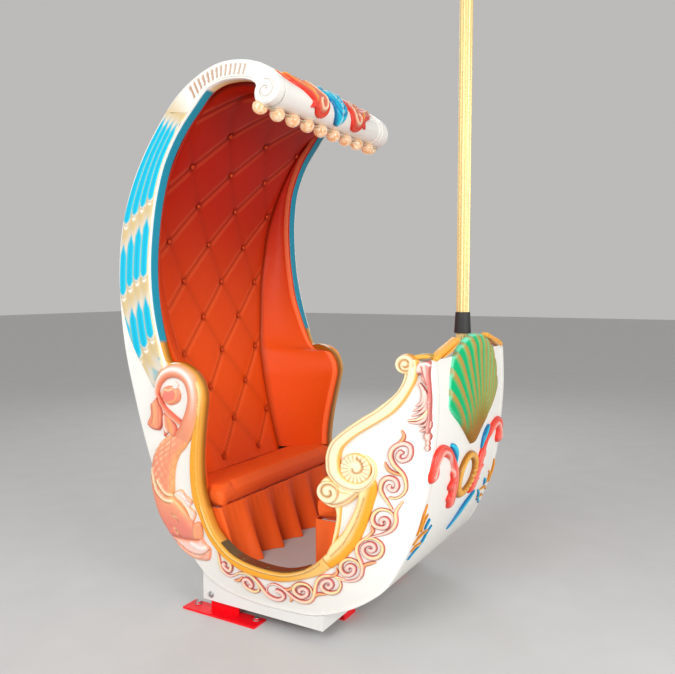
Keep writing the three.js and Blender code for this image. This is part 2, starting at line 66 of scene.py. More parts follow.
OUTLINE: Pairs = (
    (-20, 2133), (-80, 2152), (-150, 2163), (-226, 2160), (-312, 2131), (-398, 2078), (-470, 2003),
    (-566, 1860), (-635, 1703), (-669, 1541), (-670, 1378), (-650, 1215), (-624, 1060), (-588, 890),
    (-544, 686), (-485, 482), (-398, 300), (-290, 166), (-186, 113), (-60, 93), (74, 90), (220, 97),
    (344, 139), (440, 196), (510, 266), (584, 415), (631, 576), (652, 740), (662, 900), (655, 1060),
)
LIP: Pairs = ((-2, 2122), (43, 2088), (67, 2061), (72, 2020), (50, 1984), (8, 1972), (-27, 1988), (-38, 2025))
HOOD_RIM: Pairs = (
    (-30, 2052), (-60, 2071), (-103, 2082), (-160, 2087), (-213, 2082), (-270, 2059), (-325, 2000),
    (-385, 1929), (-430, 1855), (-465, 1771), (-489, 1653), (-498, 1542), (-498, 1415), (-485, 1296),
    (-460, 1178), (-424, 1061),
)
ARM_RIM: Pairs = (
    (-400, 1012), (-353, 1016), (-304, 1002), (-264, 976), (-236, 937), (-226, 889), (-233, 839),
    (-248, 764), (-263, 678), (-272, 592), (-274, 527), (-266, 472), (-244, 398),
)
SILL_RIM: Pairs = ((-216, 342), (-150, 279), (-77, 253), (4, 243), (92, 243), (164, 263), (216, 291), (267, 337))
FRONT_RIM: Pairs = (
    (303, 386), (313, 443), (324, 500), (316, 545), (298, 634), (295, 689), (298, 725), (315, 765), (344, 794),
    (379, 823), (424, 856), (468, 885), (505, 916), (537, 947), (558, 981), (568, 1015), (575, 1060),
)
ROLL: Pairs = (
    (-16, 2118), (4, 2112), (38, 2081), (62, 2056), (67, 2020), (46, 1988), (8, 1977), (-23, 1992), (-31, 2032),
)
SIDE_STATIONS: Sequence[tuple[float, float, float, float]] = (
    (-50, 2143, -48, 2062), (-119, 2159, -113, 2083), (-226, 2159, -213, 2081), (-312, 2130, -275, 2054),
    (-398, 2077, -335, 1989), (-470, 2002, -395, 1914), (-566, 1859, -462, 1779), (-634, 1703, -490, 1650),
    (-668, 1541, -499, 1535), (-669, 1378, -496, 1390), (-649, 1215, -470, 1215), (-625, 1073, -380, 1005),
    (-609, 985, -270, 975), (-588, 890, -228, 890), (-566, 790, -245, 780), (-543, 686, -263, 680),
    (-517, 590, -273, 590), (-494, 514, -271, 506),
)
SIDES = ((-1, "right"), (1, "left"))
PANEL = 45.0
SHELL = 12.0
FIT = 1.3


def half_width(x: Array, z: Array) -> Array:
    """Half width of the chariot outside its side panels.

    Args:
        x: Distances along the chariot.
        z: Heights above the deck.

    Returns:
        The distance of the side from the middle plane at each place.
    """
    rise = (np.asarray(z, float) - 1065) / 1000
    barrel = 584.6 - 6.6 * rise - 121 * np.hypot(rise, 0.25)
    along = np.clip(np.asarray(x, float) / 670, 0, 1)
    return barrel - (barrel - 398) * along**1.5


def inner_width(x: Array, z: Array) -> Array:
    """Half width between the inner faces of the two side panels."""
    return half_width(x, z) - PANEL - FIT


def smoothstep(value: Array, low: float, high: float) -> Array:
    """Smooth change from 0 at low to 1 at high."""
    share = np.clip((value - low) / (high - low), 0, 1)
    return share * share * (3 - 2 * share)


def lengths(path: Array) -> Array:
    """Length along a path at each of its points."""
    return np.concatenate([[0], np.cumsum(np.linalg.norm(np.diff(path, axis=0), axis=1))])


def leftward(step: Array) -> Array:
    """Unit directions to the left of each step."""
    step = step / np.maximum(np.linalg.norm(step, axis=1, keepdims=True), 1e-9)
    return np.stack([-step[:, 1], step[:, 0]], 1)


def rounded(distance: Array, reach: float) -> Array:
    """Quarter-round rise from 0 at the edge to 1 at a reach from it."""
    share = 1 - np.clip(distance / reach, 0, 1)
    return np.sqrt(1 - share * share)


@dataclass(frozen=True)
class Spline:
    """Uniform Catmull-Rom curve through points, read at fractional point numbers."""

    points: Pairs

    def at(self, index: Array) -> Array:
        """Points of the curve.

        Args:
            index: Fractional point numbers, from 0 to the last point's number.

        Returns:
            An array of one row for each index.
        """
        nodes, last = np.asarray(self.points, float), len(self.points) - 1
        start = np.clip(np.floor(index).astype(int), 0, last)
        part = (np.asarray(index, float) - start)[:, None]
        before, here = nodes[np.maximum(start - 1, 0)], nodes[start]
        after, beyond = nodes[np.minimum(start + 1, last)], nodes[np.minimum(start + 2, last)]
        leave, arrive = (after - before) / 2, (beyond - here) / 2
        return (
            (2 * here - 2 * after + leave + arrive) * part**3
            + (-3 * here + 3 * after - 2 * leave - arrive) * part**2 + leave * part + here
        )

    def beside(self, index: Array, distance: Array | float) -> Array:
        """Points moved to the left of the curve's direction by a distance.

        Args:
            index: Places on the curve.
            distance: Distance to the left of each place, or of all.

        Returns:
            The moved points.
        """
        step = self.at(np.minimum(index + 0.01, len(self.points) - 1)) - self.at(np.maximum(index - 0.01, 0))
        away = np.broadcast_to(np.asarray(distance, float), (len(step),))[:, None]
        return self.at(index) + away * leftward(step)

    def even(self, pitch: float) -> Array:
        """Points about a pitch apart, from the first point to the last."""
        return resampled(self.at(np.linspace(0, len(self.points) - 1, 24 * len(self.points))), pitch)


def resampled(path: Array, pitch: float, count: int = 0) -> Array:
    """Evenly spaced points along a path.

    Args:
        path: Points of the path, one row each.
        pitch: Wanted distance between the new points.
        count: Number of points wanted, or 0 to take it from the pitch.

    Returns:
        The new points, the ends of the path among them.
    """
    path = np.asarray(path, float)
    reach = lengths(path)
    places = np.linspace(0, reach[-1], count or max(2, round(reach[-1] / pitch) + 1))
    return np.stack([np.interp(places, reach, column) for column in path.T], 1)


def distance_to(points: Array, path: Array) -> tuple[Array, Array]:
    """Distance from points to a path, and how far along the path the nearest place is.

    Args:
        points: Points in two dimensions.
        path: The path's points in order.

    Returns:
        The distances, and the lengths along the path.
    """
    start, step = path[:-1], np.diff(path, axis=0)
    reach = np.linalg.norm(step, axis=1)
    along = np.concatenate([[0], np.cumsum(reach)])[:-1]
    best, place = np.empty(len(points)), np.empty(len(points))
    for low in range(0, len(points), 4000):
        block = points[low:low + 4000, None, :] - start[None]
        share = np.clip((block * step).sum(2) / np.maximum(reach**2, 1e-9), 0, 1)
        gap = np.linalg.norm(block - share[..., None] * step, axis=2)
        nearest = gap.argmin(1)
        rows = np.arange(len(nearest))
        best[low:low + 4000] = gap[rows, nearest]
        place[low:low + 4000] = along[nearest] + share[rows, nearest] * reach[nearest]
    return best, place


def inside(points: Array, loop: Array) -> Array:
    """Whether each point lies inside a closed loop.

    Args:
        points: Points in two dimensions.
        loop: Corners of the loop.

    Returns:
        One truth value for each point.
    """
    crossed = np.zeros(len(points), bool)
    for (ax, ay), (bx, by) in zip(loop, np.roll(loop, -1, axis=0)):
        spans = (ay > points[:, 1]) != (by > points[:, 1])
        with np.errstate(divide="ignore", invalid="ignore"):
            crossed ^= spans & (points[:, 0] < (bx - ax) * (points[:, 1] - ay) / (by - ay) + ax)
    return crossed


KEEL = Spline(OUTLINE)
KEEL_END = len(OUTLINE) - 1.0
KEEL_PATH = KEEL.even(6)
RIM_PATH = Spline(HOOD_RIM).even(6)


class Tint(Enum):
    """Paint colours of the carvings, as sRGB values from 0 to 255."""

    WHITE = (246, 244, 238)
    BLUSH = (252, 212, 200)
    BLUSH_CORAL = (250, 132, 118)
    AMBER = (252, 168, 40)
    MINT = (120, 226, 186)
    SHADE_WHITE = (222, 220, 214)
    CREAM = (248, 226, 165)
    PALE_CREAM = (250, 236, 196)
    GOLD = (240, 176, 72)
    DEEP_GOLD = (196, 120, 22)
    BRASS = (160, 94, 6)
    POLE_GILT = (232, 205, 140)
    CORAL = (244, 156, 120)
    DEEP_CORAL = (222, 108, 84)
    RED_CORAL = (232, 52, 36)
    PEACH = (246, 176, 118)
    PINK = (232, 122, 116)
    ROSE = (186, 84, 78)
    BEIGE = (200, 184, 156)
    TAN = (214, 190, 142)
    CYAN = (0, 196, 228)
    DEEP_CYAN = (0, 138, 186)
    BLUE = (0, 112, 168)
    TEAL = (0, 146, 176)
    GREEN = (0, 178, 112)
    PALE_GREEN = (160, 196, 136)
    OLIVE_GOLD = (178, 140, 66)
    # painted shadow for the spiral groove of the white curl on the lip
    GROOVE_SHADOW = (150, 128, 112)

    @property
    def linear(self) -> Array:
        """The colour as linear values from 0 to 1."""
        share = np.array(self.value, float) / 255
        return np.where(share <= 0.04045, share / 12.92, ((share + 0.055) / 1.055) ** 2.4)


def mixed(first: Tint | Array, second: Tint | Array, share: Array) -> Array:
    """Colours between two tints.

    Args:
        first: Tint, or rows of colours, where the share is 0.
        second: Tint, or rows of colours, where the share is 1.
        share: How much of the second each place has.

    Returns:
        One row of linear red, green and blue for each share.
    """
    low, high = (tint.linear if isinstance(tint, Tint) else tint for tint in (first, second))
    part = np.asarray(share, float)[..., None]
    return low * (1 - part) + high * part


@dataclass(frozen=True)
class Wire:
    """A shader socket that takes part in arithmetic."""

    graph: "Graph"
    socket: bpy.types.NodeSocket

    def _maths(self, operation: str, first: "Wire | float", second: "Wire | float") -> "Wire":
        """Result of a Math node on two values."""
        return self.graph.wire("ShaderNodeMath", {"operation": operation}, {0: first, 1: second})

    def __add__(self, other: "Wire | float") -> "Wire":
        """Sum of two values."""
        return self._maths("ADD", self, other)

    __radd__ = __add__

    def __sub__(self, other: "Wire | float") -> "Wire":
        """Difference of two values."""
        return self._maths("SUBTRACT", self, other)

    def __rsub__(self, other: float) -> "Wire":
        """Difference from a number."""
        return self._maths("SUBTRACT", other, self)

    def __mul__(self, other: "Wire | float") -> "Wire":
        """Product of two values."""
        return self._maths("MULTIPLY", self, other)


@dataclass(frozen=True)
class Graph:
    """Node tree of a material or of a geometry pattern, filled one node at a time."""

    tree: bpy.types.NodeTree

    def node(self, kind: str, settings: dict[str, Any] | None = None,
             inputs: dict[int | str, Any] | None = None) -> bpy.types.Node:
        """Adds a node.

        Args:
            kind: The node's type name.
            settings: Properties that are set first; stops holds a colour ramp's stops.
            inputs: Values or links of its sockets, by name or number.

        Returns:
            The new node.
        """
        made = self.tree.nodes.new(kind)
        for key, value in (settings or {}).items():
            if key == "stops":
                ramp = made.color_ramp
                while len(ramp.elements) < len(value):
                    ramp.elements.new(1.0)
                for stop, (place, colour) in zip(ramp.elements, value):
                    stop.position, stop.color = place, (*colour, 1.0)
            else:
                setattr(made, key, value)
        for key, value in (inputs or {}).items():
            source = value.socket if isinstance(value, Wire) else value
            if isinstance(source, bpy.types.NodeSocket):
                self.tree.links.new(source, made.inputs[key])
            else:
                made.inputs[key].default_value = source
        return made

    def wire(self, kind: str, settings: dict[str, Any] | None = None,
             inputs: dict[int | str, Any] | None = None, output: int | str = 0) -> Wire:
        """Adds a node and returns one of its outputs."""
        return Wire(self, self.node(kind, settings, inputs).outputs[output])

    def blend(self, factor: Wire | float, first: Any, second: Any) -> Wire:
        """Colour between two colours.

        Args:
            factor: Share of the second colour.
            first: Colour or link.
            second: Colour or link.

        Returns:
            The mixed colour.
        """
        pair = {6: first, 7: second}
        pair = {key: value if isinstance(value, Wire) else (*value, 1.0) for key, value in pair.items()}
        return self.wire("ShaderNodeMix", {"data_type": "RGBA"}, {0: factor, **pair}, 2)

    def noise(self, scale: float, detail: float = 3.0, stretch: tuple[float, float, float] = (1, 1, 1)) -> Wire:
        """Noise in object space.

        Args:
            scale: Number of noise cells in a metre.
            detail: Levels of finer noise.
            stretch: Scale of the coordinates along each axis.

        Returns:
            A value from 0 to 1.
        """
        place = self.wire("ShaderNodeTexCoord", output="Object")
        turned = self.wire("ShaderNodeMapping", None, {"Vector": place, "Scale": stretch})
        return self.wire("ShaderNodeTexNoise", None, {"Vector": turned, "Scale": scale, "Detail": detail})


class Slot(Enum):
    """Names of the material slots."""

    WHITE = "white_gloss"
    TURQUOISE = "turquoise_paint"
    GOLD = "gold_paint"
    CREAM = "cream_paint"
    CORAL = "coral_paint"
    GREEN = "green_paint"
    LEATHER = "red_leather"
    STEEL = "red_steel"
    FLOOR = "grey_floor"
    BRONZE = "bronze"
    LAMP = "amber_lens"
    RUBBER = "black_rubber"


@dataclass(frozen=True)
class Finish:
    """A surface finish: tinted, varied and slightly uneven."""

    name: str
    slot: Slot
    colour: tuple[float, float, float] | None = None
    roughness: float = 0.3
    unevenness: float = 0.06
    grain: float = 60.0
    grain_depth: float = 0.0006
    wear: float = 0.06
    constants: dict[str, Any] = field(default_factory=dict, hash=False)

    def material(self) -> bpy.types.Material:
        """The finish's material, made once.

        Returns:
            A material whose nodes are its whole finish.
        """
        known = bpy.data.materials.get(self.name)
        if known:
            return known
        made = bpy.data.materials.new(self.name)
        made.use_nodes = True
        graph = Graph(made.node_tree)
        shader = next(node for node in made.node_tree.nodes if node.type == "BSDF_PRINCIPLED")
        for key, value in self.constants.items():
            shader.inputs[key].default_value = value
        colour, roughness, normal = self.surface(graph)
        for key, value in (("Base Color", colour), ("Roughness", roughness), ("Normal", normal)):
            made.node_tree.links.new(value.socket, shader.inputs[key])
        return made

    def base(self, graph: Graph) -> Wire:
        """Colour before its variation: the finish's own or the piece's painted tint.

        Args:
            graph: Where the nodes go.

        Returns:
            The colour's link.
        """
        if self.colour is None:
            return graph.wire("ShaderNodeAttribute", {"attribute_name": "tint"}, output="Color")
        patch = graph.noise(5.0)
        dark = tuple(0.9 * channel for channel in self.colour)
        return graph.blend(patch, self.colour, dark)

    def surface(self, graph: Graph) -> tuple[Wire, Wire, Wire]:
        """Colour, roughness and normal of the finish.

        Args:
            graph: Where the nodes go.

        Returns:
            The three links for the shader.
        """
        broad, fine = graph.noise(7.0, 4.0), graph.noise(self.grain, 4.0)
        worn = graph.blend(broad * self.wear, self.base(graph), (0.62, 0.56, 0.44))
        roughness = self.roughness + (broad + fine - 1) * self.unevenness
        bump = graph.wire("ShaderNodeBump", None, {"Strength": 0.35, "Distance": self.grain_depth, "Height": fine})
        return worn, roughness, bump


@dataclass(frozen=True)
class Leather(Finish):
    """Upholstery leather with a fine pebble, over a painted tint that carries painted shade in its folds."""

    def surface(self, graph: Graph) -> tuple[Wire, Wire, Wire]:
        """Colour, roughness and normal of the leather.

        Args:
            graph: Where the nodes go.

        Returns:
            The three links for the shader.
        """
        place = graph.wire("ShaderNodeTexCoord", output="Object")
        pebble = graph.wire("ShaderNodeTexVoronoi", {"feature": "F1"}, {"Vector": place, "Scale": 420.0})
        broad, rub = graph.noise(3.5, 3.0), graph.noise(38.0, 5.0)
        painted = graph.wire("ShaderNodeAttribute", {"attribute_name": "tint"}, output="Color")
        faded = graph.blend(broad * 0.08, painted, (0.86, 0.20, 0.06))
        colour = graph.blend(rub * 0.10, faded, (0.30, 0.02, 0.004))
        roughness = self.roughness + (broad + rub - 1) * self.unevenness
        height = pebble * 0.7 + rub * 0.5
        bump = graph.wire("ShaderNodeBump", None, {"Strength": 0.22, "Distance": 0.0008, "Height": height})
        return colour, roughness, bump


@dataclass(frozen=True)
class Glass(Finish):
    """Amber lamp glass with a faint ripple."""

    def surface(self, graph: Graph) -> tuple[Wire, Wire, Wire]:
        """Colour, roughness and normal of the glass.

        Args:
            graph: Where the nodes go.

        Returns:
            The three links for the shader.
        """
        ripple = graph.noise(70.0, 2.0)
        colour = graph.wire("ShaderNodeValToRGB", {"stops": [
            (0.36, (0.85, 0.40, 0.14)), (0.50, (1.0, 0.70, 0.42)), (0.66, (1.0, 0.93, 0.78)),
        ]}, {0: ripple})
        roughness = self.roughness + ripple * 0.05
        bump = graph.wire("ShaderNodeBump", None, {"Strength": 0.8, "Distance": 0.004, "Height": ripple})
        return colour, roughness, bump


LACQUER = {"Coat Weight": 0.2, "Coat Roughness": 0.1, "Specular IOR Level": 0.25}
WHITE_PAINT = Finish("white_gloss_paint", Slot.WHITE, roughness=0.3, unevenness=0.03, grain=26.0, grain_depth=0.0001,
                     wear=0.03, constants=LACQUER)
CARVED_WHITE = Finish("carved_white_paint", Slot.WHITE, roughness=0.34, wear=0.04, constants=LACQUER)
DEEP_LACQUER = {"Specular IOR Level": 0.12}
FEATHER_PAINT = Finish("feather_paint", Slot.TURQUOISE, roughness=0.34, wear=0.01, constants=DEEP_LACQUER)
GOLD_PAINT = Finish("gold_carved_paint", Slot.GOLD, roughness=0.32, wear=0.02, constants=LACQUER)
CREAM_PAINT = Finish("cream_carved_paint", Slot.CREAM, roughness=0.34, wear=0.02, constants=LACQUER)
CORAL_PAINT = Finish("coral_carved_paint", Slot.CORAL, roughness=0.36, wear=0.02, constants=LACQUER)
GREEN_PAINT = Finish("green_carved_paint", Slot.GREEN, roughness=0.3, wear=0.01, constants=DEEP_LACQUER)
POLE_PAINT = Finish("pole_gilding", Slot.GOLD, roughness=0.28, unevenness=0.02, grain=90.0, grain_depth=0.0002,
                    wear=0.02, constants={"Metallic": 0.25})
RED_PAINT = Finish("red_steel_paint", Slot.STEEL, (0.95, 0.0, 0.008), 0.4, 0.1, 90.0, 0.0008, 0.0,
                   LACQUER)
BOLT_STEEL = Finish("bolt_steel", Slot.STEEL, (0.42, 0.43, 0.45), 0.36, 0.12, 200.0, 0.0006, 0.2,
                    constants={"Metallic": 0.9})
FLOOR_VINYL = Finish("grey_floor_vinyl", Slot.FLOOR, (0.52, 0.53, 0.52), 0.55, 0.1, 160.0, 0.0012, 0.15)
BRONZE = Finish("bronze_tread", Slot.BRONZE, (0.20, 0.12, 0.035), 0.34, 0.16, 220.0, 0.0006, 0.2,
                constants={"Metallic": 0.85})
RUBBER = Finish("black_rubber_sleeve", Slot.RUBBER, (0.012, 0.012, 0.014), 0.62, 0.1, 300.0, 0.0008, 0.03)
LEATHER = Leather("red_leather_hide", Slot.LEATHER, roughness=0.4, unevenness=0.1,
                  constants={"Specular IOR Level": 0.16})
LAMP_GLASS = Glass("amber_lamp_glass", Slot.LAMP, roughness=0.08,
                   constants={"Coat Weight": 1.0, "Transmission Weight": 0.35, "IOR": 1.45,
                              "Emission Color": (1.0, 0.72, 0.44, 1.0), "Emission Strength": 0.2})


CUSHION_RED = (0.97, 0.145, 0.022)
BUTTON_RED = (0.62, 0.06, 0.012)


def paint_points(mesh: bpy.types.Mesh, colours: Array) -> None:
    """Paints a mesh's points with one linear colour each, or with one for all.

    Args:
        mesh: The mesh.
        colours: Rows of red, green and blue, or one row.
    """
    rows = np.ones((len(mesh.vertices), 4), np.float32)
    rows[:, :3] = colours
    tint = mesh.attributes.get("tint") or mesh.attributes.new("tint", "FLOAT_COLOR", "POINT")
    tint.data.foreach_set("color", rows.ravel())


@dataclass
class Draft:
    """Points, faces and painted tints of a piece that is being made."""

    points: list[Array] = field(default_factory=list)
    faces: list[tuple[int, ...]] = field(default_factory=list)
    tints: list[Array] = field(default_factory=list)
    size: int = 0

    def add(self, points: Array, faces: Sequence[Sequence[int]], tints: Array) -> None:
        """Adds a body.

        Args:
            points: Its points in the chariot's millimetres.
            faces: Point numbers of each face, counted within this body.
            tints: Linear colour of each point, or one colour for all.
        """
        self.points.append(np.asarray(points, float))
        self.tints.append(np.broadcast_to(np.asarray(tints, float), (len(points), 3)))
        self.faces.extend(tuple(int(corner) + self.size for corner in face) for face in faces)
        self.size += len(points)

    def grid(self, rows: Array, tints: Array, caps: bool = True) -> None:
        """Adds a loft through rings of points.

        Args:
            rows: Points by ring, point and axis.
            tints: Colours by ring, point and channel, or one colour.
            caps: Whether the two end rings are filled.
        """
        count, width = rows.shape[:2]
        number = np.arange(count * width).reshape(count, width)
        after = np.roll(number, -1, axis=1)
        faces = np.stack([number[:-1], after[:-1], after[1:], number[1:]], 2).reshape(-1, 4).tolist()
        if caps:
            faces += [number[0][::-1].tolist(), number[-1].tolist()]
        tints = np.asarray(tints, float)
        self.add(rows.reshape(-1, 3), faces, tints.reshape(-1, 3) if tints.ndim == 3 else tints)

    def build(self, name: str, finish: Finish) -> bpy.types.Object:
        """Makes the piece.

        Args:
            name: Name of the piece.
            finish: Its surface finish.

        Returns:
            An object at the origin that rides on the body.
        """
        mesh = bpy.data.meshes.new(name)
        points = (np.concatenate(self.points) - (SHIFT, 0, 0)) / 1000
        mesh.from_pydata(points.tolist(), [], self.faces)
        paint_points(mesh, np.concatenate(self.tints))
        shape = bmesh.new()
        shape.from_mesh(mesh)
        bmesh.ops.recalc_face_normals(shape, faces=shape.faces)
        shape.to_mesh(mesh)
        shape.free()
        mesh.shade_smooth()
        mesh.set_sharp_from_angle(angle=math.radians(50))
        return placed(name, mesh, finish)


def placed(name: str, mesh: bpy.types.Mesh, finish: Finish) -> bpy.types.Object:
    """Puts a mesh in the scene as a piece of the body.

    Args:
        name: Name of the piece.
        mesh: Its mesh, in metres in the frame.
        finish: Its surface finish.

    Returns:
        The piece.
    """
    piece = bpy.data.objects.new(name, mesh)
    bpy.context.scene.collection.objects.link(piece)
    mesh.materials.clear()
    mesh.materials.append(finish.material())
    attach(piece, "root")
    return piece


@dataclass(frozen=True)
class SideBed:
    """The outer face of a side, on which carvings are laid by length and height."""

    side: int

    def lay(self, u: Array, v: Array, out: Array) -> Array:
        """Points at a distance out from the side."""
        return np.stack([u, self.side * (half_width(u, v) + out), v], -1)


@dataclass(frozen=True)
class ProwBed:
    """The front face of the prow, on which carvings are laid by width from its middle and height."""

    side: int = 1

    def lay(self, u: Array, v: Array, out: Array) -> Array:
        """Points at a distance out from the prow's face."""
        path = KEEL.at(np.linspace(22, KEEL_END, 120))
        return np.stack([np.interp(v, path[:, 1], path[:, 0]) + out, self.side * u, v], -1)


@dataclass(frozen=True)
class RollBed:
    """The round front of the hood's lip, laid by width and by length down its section from the top."""

    side: int = 1

    def lay(self, u: Array, v: Array, out: Array) -> Array:
        """Points at a distance out from the roll's surface.

        Args:
            u: Widths across the chariot.
            v: Lengths down the roll's section.
            out: Distances out.

        Returns:
            Points in the chariot's millimetres.
        """
        index = np.linspace(0, len(ROLL) - 1, 200)
        reach = lengths(Spline(ROLL).at(index))
        place, level = np.interp(np.ravel(v), reach, index), np.broadcast_to(out, np.shape(v)).ravel()
        flat = Spline(ROLL).beside(place, level).reshape((*np.shape(v), 2))
        return np.stack([flat[..., 0], self.side * u, flat[..., 1]], -1)


Bed = SideBed | ProwBed | RollBed


@dataclass
class Relief:
    """A carving with an outline, raised from a bed by a height at each place."""

    outline: Array
    spacing: float
    height: Field
    tint: Callable[[Array, Array, Array, Array], Array]
    holes: Sequence[Array] = ()
    rings: Sequence[float] = (1.0, 3.0, 6.0)
    lift: float = 0.6
    base: Callable[[Array], Array] = staticmethod(lambda distance: -3.0 + 0 * distance)
    edge: Callable[[Array, Array, Array], Array] | None = None
    rows: int = 1

    def mesh(self) -> tuple[Array, Array, Array]:
        """Triangulates the outline.

        Returns:
            Points, triangles, and each point's distance from the edge.
        """
        loops = [resampled(np.vstack([loop, loop[:1]]), self.spacing)[:-1]
                 for loop in (np.asarray(self.outline, float), *map(np.asarray, self.holes))]
        edge = np.vstack(loops)
        low, high = edge.min(0), edge.max(0)
        columns = np.arange(low[0], high[0], self.spacing)
        lines = np.arange(low[1], high[1], self.spacing * 0.866)
        grid = np.stack(np.meshgrid(columns, lines), -1)
        grid[1::2, :, 0] += self.spacing / 2
        seeds = [(grid.reshape(-1, 2), 0.55 * self.spacing if not self.rings else self.rings[-1] + 0.5 * self.spacing)]
        for reach in self.rings:
            for loop in loops:
                normal = leftward(np.roll(loop, -1, axis=0) - np.roll(loop, 1, axis=0))
                seeds += [(loop + side * reach * normal, 0.93 * reach) for side in (-1, 1)]
        closed = [np.vstack([loop, loop[:1]]) for loop in loops]
        kept = [edge]
        for points, least in seeds:
            fits = inside(points, loops[0])
            for hole in loops[1:]:
                fits &= ~inside(points, hole)
            points = points[fits]
            if len(points):
                gap = np.min([distance_to(points, loop)[0] for loop in closed], axis=0)
                kept.append(points[gap > least])
        points = np.vstack(kept)
        joins, start = [], 0
        for loop in loops:
            joins += [(start + i, start + (i + 1) % len(loop)) for i in range(len(loop))]
            start += len(loop)
        made = delaunay_2d_cdt([Vector(point) for point in points], joins, [], 0, 1e-4)
        flat, triangles = np.array([tuple(point) for point in made[0]]), np.array(made[2])
        middle = flat[triangles].mean(1)
        fits = inside(middle, loops[0])
        for hole in loops[1:]:
            fits &= ~inside(middle, hole)
        triangles = triangles[fits]
        gap = np.min([distance_to(flat, loop)[0] for loop in closed], axis=0)
        return flat, triangles, np.where(gap < 1e-3, 0, gap)

    def lay(self, draft: Draft, bed: Bed) -> None:
        """Adds the carving to a draft.

        Args:
            draft: Where the body goes.
            bed: The surface that carries it.
        """
        flat, triangles, gap = self.mesh()
        u, v = flat.T
        height = self.height(u, v, gap)
        tints = self.tint(u, v, gap, height)
        count = len(flat)
        sides = np.vstack([triangles[:, [0, 1]], triangles[:, [1, 2]], triangles[:, [2, 0]]])
        seen = set(map(tuple, sides.tolist()))
        border = [(a, b) for a, b in seen if (b, a) not in seen]
        rim = sorted({corner for pair in border for corner in pair})
        number = {corner: i for i, corner in enumerate(rim)}
        low = self.base(gap)
        points = [bed.lay(u, v, self.lift + height), bed.lay(u, v, low)]
        paint = [tints, tints.copy()]
        if self.edge:
            near = gap < 32
            paint[1][near] = self.edge(u[near], v[near], np.ones(near.sum()))
        levels = [rim]
        for row in range(1, self.rows):
            share = row / self.rows
            out = (self.lift + height[rim]) * (1 - share) + low[rim] * share
            points.append(bed.lay(u[rim], v[rim], out))
            levels.append([2 * count + (row - 1) * len(rim) + i for i in range(len(rim))])
            paint.append(tints[rim])
        levels.append([count + corner for corner in rim])
        if self.edge:
            for row in range(self.rows + 1):
                colours = self.edge(u[rim], v[rim], np.full(len(rim), row / self.rows))
                if row in (0, self.rows):
                    paint[row > 0][rim] = colours
                else:
                    paint[row + 1] = colours
        faces = [*triangles.tolist(), *(triangles[:, ::-1] + count).tolist()]
        for upper, lower in zip(levels, levels[1:]):
            faces += [(upper[number[b]], upper[number[a]], lower[number[a]], lower[number[b]]) for a, b in border]
        draft.add(np.vstack(points), faces, np.vstack(paint))


@dataclass
class Ribbon:
    """A carved strip between two edges that run side by side."""

    left: Array
    right: Array
    height: Callable[[Array, Array], Array]
    tint: Callable[[Array, Array, Array], Array]
    columns: int = 9
    lift: float = 0.6
    base: float = -3.0

    def lay(self, draft: Draft, bed: Bed) -> None:
        """Adds the strip to a draft.

        Args:
            draft: Where the body goes.
            bed: The surface that carries it.
        """
        across = (1 - np.cos(np.linspace(0, np.pi, self.columns))) / 2
        along = np.linspace(0, 1, len(self.left))
        share, place = np.meshgrid(across, along)
        flat = self.left[:, None] * (1 - share[..., None]) + self.right[:, None] * share[..., None]
        height = self.height(place, share)
        top = bed.lay(flat[..., 0], flat[..., 1], self.lift + height)
        under = bed.lay(flat[:, ::self.columns - 1, 0], flat[:, ::self.columns - 1, 1],
                        np.full((len(along), 2), self.base))[:, ::-1]
        colours = self.tint(place, share, height)
        draft.grid(np.concatenate([top, under], 1), np.concatenate([colours, colours[:, ::1 - self.columns]], 1))


def stroke(path: Array, width: Array | float, height: Callable[[Array, Array], Array],
           tint: Callable[[Array, Array, Array], Array], columns: int = 9, lift: float = 0.6) -> Ribbon:
    """A ribbon of a given width round a middle line.

    Args:
        path: Points of the middle line.
        width: Half width, one for the whole path or one for each point.
        height: Height by place along and share across.
        tint: Colour by place along, share across and height.
        columns: Points across.
        lift: Gap behind the strip.

    Returns:
        The ribbon.
    """
    normal = leftward(np.gradient(path, axis=0)) * np.broadcast_to(width, (len(path),))[:, None]
    return Ribbon(path + normal, path - normal, height, tint, columns, lift)


def spiral(centre: tuple[float, float], radii: tuple[float, float], start: float, turns: float,
           pitch: float = 3.0) -> Array:
    """Points of a spiral.

    Args:
        centre: Its middle.
        radii: Radius at its start and at its end.
        start: Angle of its start in degrees.
        turns: Number of turns, positive against the clock.
        pitch: Distance between the points.

    Returns:
        The points from start to end.
    """
    share = np.linspace(0, 1, 160)
    radius = radii[0] * (radii[1] / radii[0]) ** share
    angle = np.radians(start) + 2 * np.pi * turns * share
    return resampled(np.stack([centre[0] + radius * np.cos(angle), centre[1] + radius * np.sin(angle)], 1), pitch)


def dome(place: Array, share: Array) -> Array:
    """Round section across a strip, 1 in its middle."""
    return np.sqrt(np.maximum(1 - (2 * share - 1) ** 2, 0))


